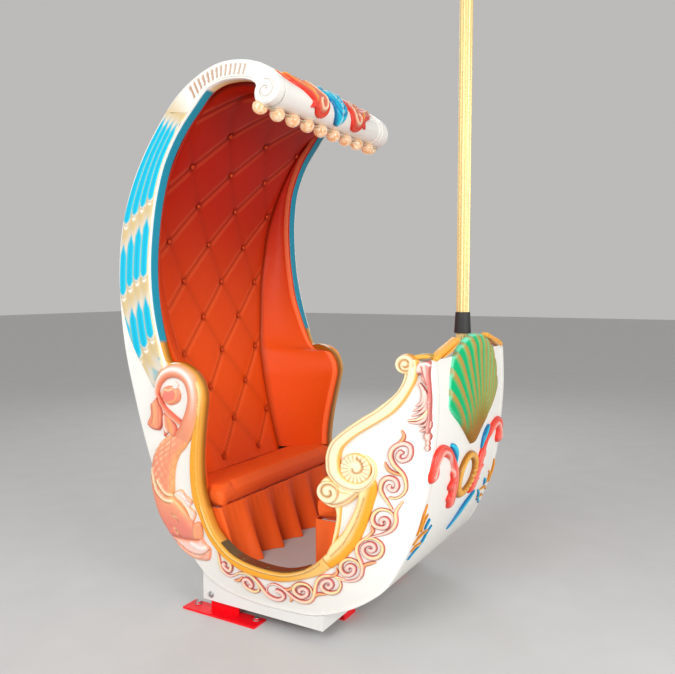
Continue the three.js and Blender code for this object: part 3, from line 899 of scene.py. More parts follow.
@dataclass
class Pattern:
    """A Geometry Nodes tree with named inputs, run on a mesh to make a plain mesh."""

    name: str
    sizes: dict[str, float]
    graph: Graph = field(init=False)
    sockets: dict[str, str] = field(default_factory=dict)
    source: bpy.types.Node = field(init=False)

    def __post_init__(self) -> None:
        """Makes the tree with its inputs."""
        tree = bpy.data.node_groups.new(self.name, "GeometryNodeTree")
        tree.interface.new_socket("Geometry", in_out="OUTPUT", socket_type="NodeSocketGeometry")
        tree.interface.new_socket("Geometry", in_out="INPUT", socket_type="NodeSocketGeometry")
        for key, value in self.sizes.items():
            kind = "NodeSocketInt" if isinstance(value, int) else "NodeSocketFloat"
            made = tree.interface.new_socket(key, in_out="INPUT", socket_type=kind)
            made.default_value = value
            self.sockets[key] = made.identifier
        for key, kind in (("Shape", "NodeSocketObject"), ("Material", "NodeSocketMaterial")):
            self.sockets[key] = tree.interface.new_socket(key, in_out="INPUT", socket_type=kind).identifier
        self.graph = Graph(tree)
        self.source = self.graph.node("NodeGroupInput")

    def socket(self, key: str) -> bpy.types.NodeSocket:
        """Output of the group's input node."""
        return self.source.outputs[key]

    def finish(self, made: Wire) -> None:
        """Ends the tree in real geometry with its material.

        Args:
            made: Geometry that the pattern has made.
        """
        real = self.graph.wire("GeometryNodeRealizeInstances", None, {"Geometry": made})
        smooth = self.graph.wire("GeometryNodeSetShadeSmooth", None, {0: real})
        dressed = self.graph.wire("GeometryNodeSetMaterial", None,
                                  {"Geometry": smooth, "Material": self.socket("Material")})
        self.graph.node("NodeGroupOutput", None, {0: dressed})

    def grow(self, name: str, seed: bpy.types.Mesh, finish: Finish, **values: Any) -> bpy.types.Object:
        """Runs the tree.

        Args:
            name: Name of the piece.
            seed: Mesh that the pattern starts from.
            finish: Surface finish of the piece.
            values: Sizes that differ from the tree's own, by name.

        Returns:
            The piece, its mesh plain and its modifier gone.
        """
        carrier = bpy.data.objects.new(f"{name}_seed", seed)
        bpy.context.scene.collection.objects.link(carrier)
        modifier = carrier.modifiers.new("pattern", "NODES")
        modifier.node_group = self.graph.tree
        for key, value in {**self.sizes, **values, "Material": finish.material()}.items():
            modifier[self.sockets[key]] = value
        graph = bpy.context.evaluated_depsgraph_get()
        mesh = bpy.data.meshes.new_from_object(carrier.evaluated_get(graph), depsgraph=graph)
        carrier.modifiers.clear()
        bpy.data.objects.remove(carrier)
        return placed(name, mesh, finish)


def seed_mesh(points: Array, outward: Array | None = None, tints: Tint | None = None,
              linked: bool = False) -> bpy.types.Mesh:
    """Mesh of bare points or of one line, for a pattern to start from.

    Args:
        points: Points in the chariot's millimetres.
        outward: Direction that each repeated shape's axis takes.
        tints: Colour that the repeated shapes take.
        linked: Whether the points are joined into a line.

    Returns:
        The mesh in metres in the frame.
    """
    mesh = bpy.data.meshes.new("seed")
    places = (np.asarray(points, float) - (SHIFT, 0, 0)) / 1000
    mesh.from_pydata(places.tolist(), [(i, i + 1) for i in range(len(places) - 1)] if linked else [], [])
    if outward is not None:
        mesh.attributes.new("outward", "FLOAT_VECTOR", "POINT").data.foreach_set(
            "vector", np.asarray(outward, np.float32).ravel())
    if tints is not None:
        paint_points(mesh, tints.linear)
    return mesh


def stud_pattern() -> Pattern:
    """Pattern that sets one shape on every point, its axis outwards.

    Returns:
        A pattern with the inputs Size, Spin, Seed and Shape.
    """
    pattern = Pattern("studs_on_points", {"Size": 1.0, "Spin": 0.0, "Seed": 7})
    graph = pattern.graph
    shape = graph.wire("GeometryNodeObjectInfo", None, {"Object": pattern.socket("Shape")}, "Geometry")
    outward = graph.wire("GeometryNodeInputNamedAttribute", {"data_type": "FLOAT_VECTOR"}, {"Name": "outward"})
    aim = graph.wire("FunctionNodeAlignRotationToVector", {"axis": "Z"}, {"Vector": outward})
    chance = graph.wire("FunctionNodeRandomValue", {"data_type": "FLOAT"},
                        {2: 0.0, 3: pattern.socket("Spin"), "Seed": pattern.socket("Seed")}, 1)
    spin = graph.wire("ShaderNodeCombineXYZ", None, {"Z": chance})
    turned = graph.wire("FunctionNodeRotateRotation", {"rotation_space": "LOCAL"}, {0: aim, 1: spin})
    pattern.finish(graph.wire("GeometryNodeInstanceOnPoints", None, {
        "Points": pattern.socket("Geometry"), "Instance": shape, "Rotation": turned, "Scale": pattern.socket("Size"),
    }))
    return pattern


def cord_pattern() -> Pattern:
    """Pattern that runs a round bead along a line.

    Returns:
        A pattern with the inputs Radius, Pitch and Sides.
    """
    pattern = Pattern("bead_along_line", {"Radius": 0.004, "Pitch": 0.006, "Sides": 10})
    graph = pattern.graph
    line = graph.wire("GeometryNodeMeshToCurve", None, {0: pattern.socket("Geometry")})
    even = graph.wire("GeometryNodeResampleCurve", {"mode": "LENGTH"},
                      {"Curve": line, "Length": pattern.socket("Pitch")})
    ring = graph.wire("GeometryNodeCurvePrimitiveCircle", None,
                      {"Resolution": pattern.socket("Sides"), "Radius": pattern.socket("Radius")})
    pattern.finish(graph.wire("GeometryNodeCurveToMesh", None,
                              {"Curve": even, "Profile Curve": ring, "Fill Caps": True}))
    return pattern


def turned_shape(name: str, profile: Pairs, sides: int) -> bpy.types.Object:
    """Small turned shape for a pattern to repeat.

    Args:
        name: Its name.
        profile: Radius and height of each ring in millimetres, from the axis back to the axis.
        sides: Points round it.

    Returns:
        An object that isn't in the scene.
    """
    shape = bmesh.new()
    rings = [[shape.verts.new((radius * math.cos(turn) / 1000, radius * math.sin(turn) / 1000, height / 1000))
              for turn in np.linspace(0, 2 * math.pi, sides, endpoint=False)] for radius, height in profile]
    for low, high in zip(rings, rings[1:]):
        for i in range(sides):
            shape.faces.new((low[i], low[(i + 1) % sides], high[(i + 1) % sides], high[i]))
    bmesh.ops.remove_doubles(shape, verts=shape.verts, dist=1e-6)
    bmesh.ops.recalc_face_normals(shape, faces=shape.faces)
    mesh = bpy.data.meshes.new(name)
    shape.to_mesh(mesh)
    shape.free()
    return bpy.data.objects.new(name, mesh)


@dataclass
class SidePanels:
    """The two curved side panels, with the painted edges of their openings."""

    spacing: float = 15.0
    bevel: float = 5.0

    def outline(self) -> Array:
        """Edge of a panel, from the lip round the opening and back along the keel.

        Returns:
            Corners of the closed edge.
        """
        start = OUTLINE[0]
        runs = [Spline((start, *LIP)), Spline(HOOD_RIM), Spline((HOOD_RIM[-1], *ARM_RIM)),
                Spline((ARM_RIM[-1], *SILL_RIM)), Spline((SILL_RIM[-1], *FRONT_RIM))]
        parts = [run.even(6)[:-1] for run in runs]
        return np.vstack([*parts, KEEL_PATH[::-1]])

    def edge_tint(self, u: Array, v: Array, share: Array) -> Array:
        """Paint of the edge of the opening at a depth from the outer face.

        Args:
            u: Lengths along the chariot.
            v: Heights.
            share: Depth as a share of the panel's thickness.

        Returns:
            One colour for each place.
        """
        colours = np.tile(Tint.WHITE.linear, (len(u), 1))
        places = np.stack([u, v], 1)
        zones = (
            (HOOD_RIM, np.tile(Tint.TEAL.linear, (len(u), 1)), 15),
            ((HOOD_RIM[-1], *ARM_RIM), mixed(Tint.GOLD, Tint.BRASS, smoothstep(share, 0.1, 0.8)), 30),
            ((ARM_RIM[-1], *SILL_RIM), mixed(Tint.GOLD, Tint.DEEP_GOLD, share), 30),
            ((SILL_RIM[-1], *FRONT_RIM), mixed(Tint.PALE_CREAM, Tint.GOLD, share), 15),
        )
        for rim, paint, reach in zones:
            near = distance_to(places, Spline(rim).even(6))[0] < reach
            colours[near] = paint[near]
        cream = (v > 2045) & (u > -262) & (u < -50)
        colours[cream] = mixed(Tint.WHITE, Tint.CREAM, smoothstep(share, 0, 0.5))[cream]
        return colours

    def build(self) -> None:
        """Makes both panels."""
        def face(u: Array, v: Array, gap: Array) -> Array:
            """Rounded arris along the panel's edge."""
            return self.bevel * (rounded(gap, self.bevel) - 1)

        def paint(u: Array, v: Array, gap: Array, height: Array) -> Array:
            """White face with painted shade darkening it towards the bottom, and the opening's paint carried over its
            arris.

            Args:
                u: Lengths along the chariot.
                v: Heights.
                gap: Distances from the carving's edge.
                height: Heights of the carving, not used.

            Returns:
                One colour for each place.
            """
            # painted shade: the white darkens towards the bottom
            colours = mixed(Tint.WHITE, Tint.SHADE_WHITE, 0.5 * smoothstep(v, 420, 100))
            near = (gap < 8) & (v < 1010) & (u > -410)
            colours[near] = self.edge_tint(u[near], v[near], 0 * u[near])
            return colours

        panel = Relief(self.outline(), self.spacing, face, paint, rings=(1.2, 3.0, 5.5), lift=0, rows=4,
                       base=lambda gap: -PANEL + 3 * (1 - rounded(gap, 3)), edge=self.edge_tint)
        for side, name in SIDES:
            draft = Draft()
            panel.lay(draft, SideBed(side))
            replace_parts(draft.build(f"side_panel_{name}_dressed", WHITE_PAINT), f"side_panel_{name}")


@dataclass
class Hull:
    """The skin that runs over the hood, down the back, under the belly and up the prow."""

    along: int = 260
    across: int = 44

    def build(self) -> None:
        """Makes the skin as one closed sheet."""
        index = np.linspace(0.002, KEEL_END - 0.002, self.along)
        outer, inner = KEEL.at(index), KEEL.beside(index, SHELL)
        share = np.sin(np.linspace(-np.pi / 2, np.pi / 2, self.across))
        rings = []
        for skin, turn in ((outer, 1), (inner, -1)):
            width = inner_width(skin[:, 0], skin[:, 1])[:, None] * share[::turn]
            rings.append(np.stack([np.broadcast_to(skin[:, :1], width.shape), width,
                                   np.broadcast_to(skin[:, 1:], width.shape)], 2))
        rows = np.concatenate(rings, 1)
        # painted shade: the white skin darkens towards the bottom, under the belly
        tint = mixed(Tint.WHITE, Tint.SHADE_WHITE, smoothstep(rows[..., 2], 500, 120))
        draft = Draft()
        draft.grid(rows, tint)
        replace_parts(draft.build("hull_skin", WHITE_PAINT), "hood_shell", "back_shell", "belly_shell", "prow_shell")


@dataclass
class HoodRoll:
    """The round lip of the hood with a stepped collar at each end."""

    collar: float = 17.0
    second_collar: float = 43.0
    swell: float = 6.0

    def build(self) -> None:
        """Makes the roll."""
        index = np.linspace(0, len(ROLL) - 1, 60)
        half = inner_width(np.array(10.0), np.array(2040.0))
        steps = [0, self.collar - 2, self.collar, self.second_collar - 2, self.second_collar, self.second_collar + 4]
        lifts = [self.swell, self.swell, self.swell / 2, self.swell / 2, 0.0, 0.0]
        ends = half - np.array(steps)
        width = np.concatenate([-ends, np.linspace(-ends[-1], ends[-1], 40)[1:-1], ends[::-1]])
        lift = np.concatenate([lifts, np.zeros(38), lifts[::-1]])
        rings = []
        for y, out in zip(width, lift):
            flat = Spline(ROLL).beside(index, out)
            rings.append(np.stack([flat[:, 0], np.full(len(flat), y), flat[:, 1]], 1))
        draft = Draft()
        draft.grid(np.array(rings), Tint.WHITE.linear)
        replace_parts(draft.build("hood_roll_dressed", WHITE_PAINT), "hood_roll")


@dataclass
class LampRow:
    """Amber lamps in a scalloped strip under the roll."""

    count: int = 8
    pitch: float = 105.0
    last: float = 444.0
    x: float = 4.0
    top: float = 1971.0

    def build(self, studs: Pattern) -> None:
        """Makes the strip, then repeats the lamp along it.

        Args:
            studs: Pattern that repeats a shape on points.
        """
        half = float(half_width(0, self.top)) - 6
        width = np.linspace(-half, half, 320)
        middles = (np.arange(self.count) - (self.count - 1) / 2) * self.pitch
        gap = np.abs(width[:, None] - middles).min(1)
        middles = np.array([-self.last, *middles, self.last])
        swell = np.exp(-((gap / 24) ** 2))
        turn = np.linspace(0, 2 * np.pi, 20, endpoint=False)
        reach, drop = 10 + 12 * swell, 7 + 11 * swell
        rings = np.stack([
            self.x + reach[:, None] * np.cos(turn), np.broadcast_to(width[:, None], (320, 20)),
            self.top - 1 - drop[:, None] * (1 - np.sin(turn)) / 2,
        ], 2)
        draft = Draft()
        draft.grid(rings, mixed(Tint.BEIGE, Tint.PEACH, np.broadcast_to(0.6 * swell[:, None], (320, 20))))
        strip = draft.build("lamp_strip_moulding", CREAM_PAINT)
        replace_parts(strip, "lamp_strip")
        bulb = turned_shape("lamp_bulb", ((0, -4), (16, -4), (26, 2), (30, 12), (29, 24), (24, 34), (15, 41), (6, 44),
                                          (0, 44.5)), 22)
        points = [(self.x if abs(y) < self.last else -19, y,
                   self.top + (2 if abs(y) < self.last else 16)) for y in middles]
        studs.grow("lamp_bulbs", seed_mesh(points, [(0, 0, -1)] * len(points)), LAMP_GLASS, Shape=bulb)


@dataclass
class HoodBands:
    """Carved bands on the hood's sides: reeds over the brow and feathers down the back."""

    reed_pitch: float = 24.5
    last_reed: float = 365.0
    reed_end: float = 505.0
    reed_foot: float = 6.35
    margin: float = 9.0
    inner: float = 9.0
    lanes: int = 4
    tips: Sequence[tuple[float, float, float]] = (
        (445, 20, 0), (1020, 168, 0), (1318, 165, 80), (1640, 220, 60), (1980, 200, 0),
    )
    low_edge: Pairs = (
        (-655, 1280), (-619, 1175), (-587, 1095), (-538, 1016), (-500, 955), (-468, 905), (-460, 925),
        (-440, 966), (-420, 990), (-424, 1030),
    )

    def places(self, u: Array, v: Array) -> tuple[Array, Array]:
        """Length along the band and share across it, from the outer edge inwards.

        Args:
            u: Lengths along the chariot.
            v: Heights.

        Returns:
            The lengths and the shares.
        """
        points = np.stack([u, v], 1)
        outer, along = distance_to(points, KEEL_PATH)
        rim = distance_to(points, RIM_PATH)[0]
        return along, np.clip((outer - self.margin) / np.maximum(outer + rim - self.margin - self.inner, 1), 0, 1)

    def border(self, along: Array, gap: Array) -> Array:
        """Rounding of the outer edges, which leaves the joint between the two bands flush."""
        return rounded(np.where(np.abs(along - self.reed_end) < 12, 9, gap), 5)

    def reed_height(self, u: Array, v: Array, gap: Array) -> Array:
        """Rounded bars between sunk slots.

        Args:
            u: Lengths along the chariot.
            v: Heights.
            gap: Distances from the carving's edge.

        Returns:
            Height at each place.
        """
        along, share = self.places(u, v)
        phase = np.abs((along / self.reed_pitch) % 1 - 0.5) * 2
        end = smoothstep(share, 0.08, 0.2) * smoothstep(share, 0.94, 0.82) * smoothstep(along, 30, 70)
        end = end * smoothstep(along, self.last_reed, self.last_reed - 4)
        slot = smoothstep(phase, 0.42, 0.66)
        return 5.5 * self.border(along, gap) - 5.0 * (1 - slot) * end

    def reed_tint(self, u: Array, v: Array, gap: Array, height: Array) -> Array:
        """White bars, with rosy beige in the slots that fades towards the lip.

        Args:
            u: Lengths along the chariot.
            v: Heights.
            gap: Distances from the carving's edge.
            height: Heights of the carving.

        Returns:
            One colour for each place.
        """
        along, _ = self.places(u, v)
        sunk = smoothstep(height, 4.6, 1.5) * (gap > 5)
        slot_tint = mixed(Tint.BEIGE, Tint.ROSE, 0.3 + 0 * u)
        white = mixed(Tint.WHITE, Tint.TAN, 0.9 * smoothstep(along, self.last_reed, self.reed_end))
        return mixed(white, slot_tint, sunk * (0.8 + 0.2 * smoothstep(along, 80, 330)))

    def feather_rows(self, along: Array, share: Array) -> tuple[Array, Array, Array]:
        """Which feather a place is on.

        Args:
            along: Length along the band.
            share: Share across the band.

        Returns:
            The length past the tip above it, the length left to its own tip, and the share across it.
        """
        lane = np.clip(share, 0, 0.999) * self.lanes
        across = lane % 1
        middle = (np.floor(lane) + 0.5) / self.lanes
        point = 24 * (2 * across - 1) ** 2
        tips = np.stack([start - drop * middle + curve * middle**2 - point for start, drop, curve in self.tips], -1)
        row = np.clip((along[:, None] > tips).sum(1), 1, len(self.tips) - 1)
        rows = np.arange(len(along))
        return along - tips[rows, row - 1], tips[rows, row] - along, across

    def feather_height(self, u: Array, v: Array, gap: Array) -> Array:
        """Feathers that lap over the next row at their rounded tips.

        Args:
            u: Lengths along the chariot.
            v: Heights.
            gap: Distances from the carving's edge.

        Returns:
            Height at each place.
        """
        along, share = self.places(u, v)
        past, left, across = self.feather_rows(along, share)
        quill = 2.0 + 3.0 * dome(past, across) + 4.5 * np.exp(-(np.maximum(left, 0) / 110))
        joined = smoothstep(along, self.reed_end, self.reed_end + 60)
        return self.border(along, gap) * (5.5 * (1 - joined) + quill * joined)

    def feather_tint(self, u: Array, v: Array, gap: Array, height: Array) -> Array:
        """Bright streaks that start pointed in a tan fade, with pale ridges, and a white painted highlight just past
        each feather tip.

        Args:
            u: Lengths along the chariot.
            v: Heights.
            gap: Distances from the carving's edge.
            height: Heights of the carving, not used.

        Returns:
            One colour for each place.
        """
        along, share = self.places(u, v)
        past, left, across = self.feather_rows(along, share)
        side = np.abs(2 * across - 1)
        streak = smoothstep(past, 62 + 70 * side, 84 + 80 * side) * smoothstep(left, 6, 16)
        streak *= 1 - 0.55 * smoothstep(along, 1520, 1600)
        ridge = smoothstep(side, 0.72, 0.95)
        colours = mixed(Tint.TAN, Tint.SHADE_WHITE, 0.75 * smoothstep(past, 40, 110) * (1 - streak))
        colours = mixed(colours, Tint.CYAN, streak * (1 - 0.6 * ridge))
        colours = mixed(colours, Tint.DEEP_CYAN, 0.30 * streak * smoothstep(side, 0.45, 0.1))
        # painted highlight: white just past the tip of the feather above
        colours = mixed(colours, Tint.WHITE, np.exp(-((past - 9) / 6) ** 2) * smoothstep(side, 0.75, 0.3))
        return mixed(colours, Tint.CREAM, smoothstep(gap, 2.6, 1.2) * (np.abs(along - self.reed_end) > 12))

    def build(self, cords: Pattern) -> None:
        """Makes the bands of both sides and the bead along the opening.

        Args:
            cords: Pattern that runs a bead along a line.
        """
        reach = lengths(KEEL_PATH)
        rim = Spline(HOOD_RIM)

        def outer(start: float, end: float) -> Array:
            """Outer edge of the bands between two lengths.

            Args:
                start: Length where the edge begins.
                end: Length where it ends.

            Returns:
                Corners of the outer edge.
            """
            places = np.linspace(start, end, round((end - start) / 6) + 1)
            path = np.stack([np.interp(places, reach, column) for column in KEEL_PATH.T], 1)
            return path + self.margin * leftward(np.gradient(path, axis=0))

        inner = rim.beside(np.linspace(self.reed_foot, 0.5, 90), -self.inner)
        reeds = Relief(np.vstack([outer(40, self.reed_end), inner]), 4.2, self.reed_height, self.reed_tint)
        inner = rim.beside(np.linspace(14.7, self.reed_foot + 0.02, 120), -self.inner)
        feathers = Relief(np.vstack([outer(self.reed_end, 1262), Spline(self.low_edge).even(6), inner]), 4.2,
                          self.feather_height, self.feather_tint)
        bead = rim.beside(np.linspace(0.1, 14.8, 220), -4.6)
        # the curl's spiral groove is painted with a grey painted shadow
        curl = volute((14, 2022), 46, 6, -1.15, 95, 12, (Tint.WHITE, Tint.WHITE), Tint.GROOVE_SHADOW)
        for side, name in SIDES:
            bed = SideBed(side)
            for node, piece, finish in (("reeded_band", reeds, CARVED_WHITE),
                                        ("feather_band", feathers, FEATHER_PAINT)):
                draft = Draft()
                piece.lay(draft, bed)
                if piece is reeds:
                    curl.lay(draft, bed)
                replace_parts(draft.build(f"{node}_{name}_dressed", finish), f"{node}_{name}")
            line = bed.lay(bead[:, 0], bead[:, 1], np.full(len(bead), 1.5))
            cords.grow(f"hood_bead_{name}", seed_mesh(line, tints=Tint.WHITE, linked=True), WHITE_PAINT, Radius=0.0034)


@dataclass
class Linings:
    """Leather linings: the tufted back and hood, the smooth sides and the front."""

    rows: Sequence[tuple[float, float]] = (
        (2.105, -0.14), (2.075, -0.276), (1.957, -0.146), (1.815, -0.283), (1.665, -0.168), (1.503, -0.314),
        (1.335, -0.218), (1.172, -0.368), (1.015, -0.268), (0.858, -0.396), (0.70, -0.270), (0.545, -0.398),
    )
    pitch: float = 0.26
    along: int = 210
    across: int = 110

    def depth(self, z: Array) -> Array:
        """How far the lining stands in from the outline."""
        return 48 + 40 * smoothstep(z, 1000, 1900)

    def crease(self, z: Array) -> Array:
        """Distance of the corner between back and side from the middle."""
        return np.interp(z, (500, 870, 980, 1160, 1290, 1470, 1750, 2050), (281, 281, 292, 336, 360, 390, 398, 392))

    def surface(self, index: Array, share: Array, lift: Array | float) -> Array:
        """Points on the lining's face between the two creases.

        Args:
            index: Point numbers along the outline.
            share: Shares across, from -1 to 1.
            lift: Height above the face, towards the cabin.

        Returns:
            Points in the chariot's millimetres.
        """
        flat = KEEL.at(index)
        flat = KEEL.beside(index, self.depth(flat[:, 1]) + lift)
        return np.stack([flat[:, 0], share * self.crease(flat[:, 1]), flat[:, 1]], 1)

    def buttons(self) -> Array:
        """Places of the buttons across and up, row by row.

        Returns:
            One row for each button, with its place across and up.
        """
        made = []
        for z, first in self.rows:
            made += [(1000 * (first + self.pitch * k), 1000 * z) for k in range(-1, 5)]
        return np.array(made)

    def tuft(self, y: Array, z: Array) -> tuple[Array, Array]:
        """Swell of the leather, and the painted shade of its folds and buttons.

        Args:
            y: Distances from the middle plane.
            z: Heights.

        Returns:
            The swell in millimetres, and the painted shade of each place, negative for a painted highlight beside the
            strong folds.
        """
        places = np.stack([y, z], 1)
        strong, weak = np.full(len(y), 1e3), np.full(len(y), 1e3)
        rows = [np.array([(1000 * (first + self.pitch * k), 1000 * level) for k in range(-2, 6)])
                for level, first in self.rows]
        for upper, lower in zip(rows, rows[1:]):
            for start in lower:
                step = upper - start
                for target, best in ((upper[(step[:, 0] > 0)][:1], strong), (upper[step[:, 0] <= 0][-1:], weak)):
                    if len(target):
                        gap = distance_to(places, np.vstack([start, target[0]]))[0]
                        np.minimum(best, gap, out=best)
        button = np.min([np.hypot(*(places - spot).T) for spot in np.vstack(rows)], axis=0)
        dip = np.exp(-((button / 17) ** 2))
        fold_shade, faint = np.exp(-(strong / 7)), np.exp(-(weak / 14))
        swell = 7.0 * (1 - np.exp(-(strong / 38))) + 3.0 * (1 - np.exp(-(weak / 45)))
        # painted shade in the folds and in the dips at the buttons, and a painted highlight just beside each strong
        # fold
        shade = np.clip(0.9 * fold_shade + 0.3 * faint + 0.8 * dip, 0, 1)
        return swell - 6.0 * dip - 2.5 * fold_shade, shade - 0.9 * np.exp(-(((strong - 13) / 6) ** 2)) * (shade < 0.5)

    def leather_tint(self, z: Array, fold_shade: Array) -> Array:
        """Leather colour with painted shade that deepens the red up in the hood and in the folds, and painted
        highlights beside the folds.

        Args:
            z: Heights.
            fold_shade: Painted shade at each place, negative where a painted highlight lightens it.

        Returns:
            One colour for each place.
        """
        # painted shade: the red darkens up into the hood, where less light falls, and in the folds; negative shade adds
        # a painted highlight
        low, high = np.array((0.96, 0.105, 0.006)), np.array((0.44, 0.004, 0.0003))
        ground = mixed(np.tile(low, (*np.shape(z), 1)), np.tile(high, (*np.shape(z), 1)), smoothstep(z, 700, 1850))
        fold_shade = np.asarray(fold_shade)[..., None]
        return ground * (1 - 0.5 * np.maximum(fold_shade, 0)) + np.array((0.12, 0.07, 0.03)) * np.maximum(-fold_shade, 0)

    def back(self) -> bpy.types.Object:
        """Makes the tufted back, which runs up into the hood.

        Returns:
            The finished lining.
        """
        index, share = np.linspace(0.6, 15, self.along), np.linspace(-1, 1, self.across)
        grid_index, grid_share = np.repeat(index, self.across), np.tile(share, self.along)
        bare = self.surface(grid_index, grid_share, 0)
        swell, fold_shade = self.tuft(bare[:, 1], bare[:, 2])
        side = np.abs(grid_share)
        swell = swell * smoothstep(1 - side, 0, 0.16) - 4 * smoothstep(side, 0.94, 1.0)
        face = self.surface(grid_index, grid_share, swell).reshape(self.along, self.across, 3)
        # painted shade in the corners where the back meets the side linings
        tint = self.leather_tint(bare[:, 2], np.where(side > 0.95, smoothstep(side, 0.95, 1), fold_shade))
        rear = KEEL.beside(grid_index, SHELL + 0.4)
        rear = np.stack([rear[:, 0], bare[:, 1], rear[:, 1]], 1).reshape(self.along, self.across, 3)[:, ::-1]
        tint = tint.reshape(self.along, self.across, 3)
        draft = Draft()
        draft.grid(np.concatenate([face, rear], 1), np.concatenate([tint, tint[:, ::-1]], 1))
        return draft.build("back_lining_tufted", LEATHER)

    def sides(self, side: int, name: str) -> bpy.types.Object:
        """Makes the smooth lining of one side, with its rolled edge along the opening.

        Args:
            side: -1 for the right, 1 for the left.
            name: Name of the side.

        Returns:
            The piece.
        """
        stations = np.asarray(SIDE_STATIONS, float)
        index = np.linspace(0, len(stations) - 1, 150)
        keel = Spline(tuple(map(tuple, stations[:, :2]))).at(index)
        rim = Spline(tuple(map(tuple, stations[:, 2:]))).at(index)
        reach = np.linalg.norm(rim - keel, axis=1, keepdims=True)
        toward = (rim - keel) / reach
        deep = keel + toward * np.minimum(self.depth(keel[:, 1])[:, None], 0.8 * reach)
        crease = np.minimum(self.crease(keel[:, 1]), inner_width(*deep.T) - 14)
        edge = rim - 2 * toward
        roll = 24.0
        start = np.stack([deep[:, 0], crease, deep[:, 1]], 1)
        near = edge - roll * toward
        proud = np.stack([near[:, 0], inner_width(*near.T) - 0.8 * roll, near[:, 1]], 1)
        rings = []
        inward = np.stack([toward[:, 0], -0.6 * np.ones(len(index)), toward[:, 1]], 1)
        inward /= np.linalg.norm(inward, axis=1, keepdims=True)
        for share in np.linspace(0, 1, 22):
            bulge = 13 * np.sin(np.pi * share) ** 0.7 * np.minimum(reach / 160, 1)
            rings.append(start * (1 - share) + proud * share + inward * bulge)
        for angle in np.linspace(0.12, 1, 9) * np.pi / 2:
            flat = near + roll * math.sin(angle) * toward
            rings.append(np.stack([flat[:, 0], inner_width(*flat.T) - 0.8 * roll * math.cos(angle), flat[:, 1]], 1))
        for share in np.linspace(1, 0, 6):
            flat = keel + toward * (SHELL + 3 + (reach - 2 - SHELL - 3) * share)
            rings.append(np.stack([flat[:, 0], inner_width(*flat.T), flat[:, 1]], 1))
        flat = keel + toward * (SHELL + 3)
        rings.append(np.stack([flat[:, 0], crease, flat[:, 1]], 1))
        rows = np.stack(rings, 1) * (1, side, 1)
        fold_shade = np.zeros(rows.shape[:2])
        # painted shade along the crease against the back, and a painted highlight along the rolled edge
        fold_shade[:, 0], fold_shade[:, 1] = 1.0, 0.4
        fold_shade[:, 22:28] = -1.6
        draft = Draft()
        draft.grid(rows, self.leather_tint(rows[..., 2], fold_shade))
        return draft.build(f"side_lining_{name}_padded", LEATHER)

    def front(self) -> bpy.types.Object:
        """Makes the padded back of the front bench.

        Returns:
            The finished lining.
        """
        face = Spline(((497, 452), (506, 560), (530, 800), (546, 1020), (556, 1058), (584, 1059))).even(9)
        rear = np.array(((585, 1059), (585, 800), (585, 570), (570, 452)), float)
        share = np.sin(np.linspace(-np.pi / 2, np.pi / 2, 60))
        profile = np.vstack([face, rear])
        bulge = np.concatenate([10 * np.sin(np.linspace(0, np.pi, len(face))), np.zeros(len(rear))])
        rows = []
        for part in share:
            fill = 1 - part**6
            x = profile[:, 0] - bulge * fill
            rows.append(np.stack([x, part * (inner_width(*profile.T) - 0.5), profile[:, 1]], 1))
        rows = np.array(rows)
        draft = Draft()
        draft.grid(rows, self.leather_tint(rows[..., 2], np.zeros(rows.shape[:2])))
        return draft.build("front_lining_padded", LEATHER)

    def build(self, studs: Pattern) -> None:
        """Makes the linings and their buttons.

        Args:
            studs: Pattern that repeats a shape on points.
        """
        pads = [(self.back(), "back_lining", 0.5), (self.sides(-1, "right"), "side_lining_right", 0.4),
                (self.sides(1, "left"), "side_lining_left", 0.4), (self.front(), "front_lining", 0.5)]
        for piece, node, fill in pads:
            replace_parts(piece, node)
        index = np.linspace(0.7, 14.9, 900)
        heights = KEEL.beside(index, self.depth(KEEL.at(index)[:, 1]))[:, 1]
        top = heights.argmax()
        spots, axes = [], []
        for y, z in self.buttons():
            if abs(y) > self.crease(z) - 6 or z > heights.max() - 8:
                continue
            place = np.interp(-z, -heights[top:], index[top:])
            here = self.surface(np.array([place]), np.array([y / self.crease(z)]), 0.5)[0]
            ahead = self.surface(np.array([place]), np.array([y / self.crease(z)]), 9.0)[0]
            spots.append(here)
            axes.append(ahead - here)
        button = turned_shape("button", ((0, -3), (8, -3), (9.5, 0), (8.5, 3), (5, 5), (0, 5.8)), 14)
        seed = seed_mesh(np.array(spots), np.array(axes))
        paint_points(seed, np.array(BUTTON_RED))
        studs.grow("lining_buttons", seed, LEATHER, Shape=button)


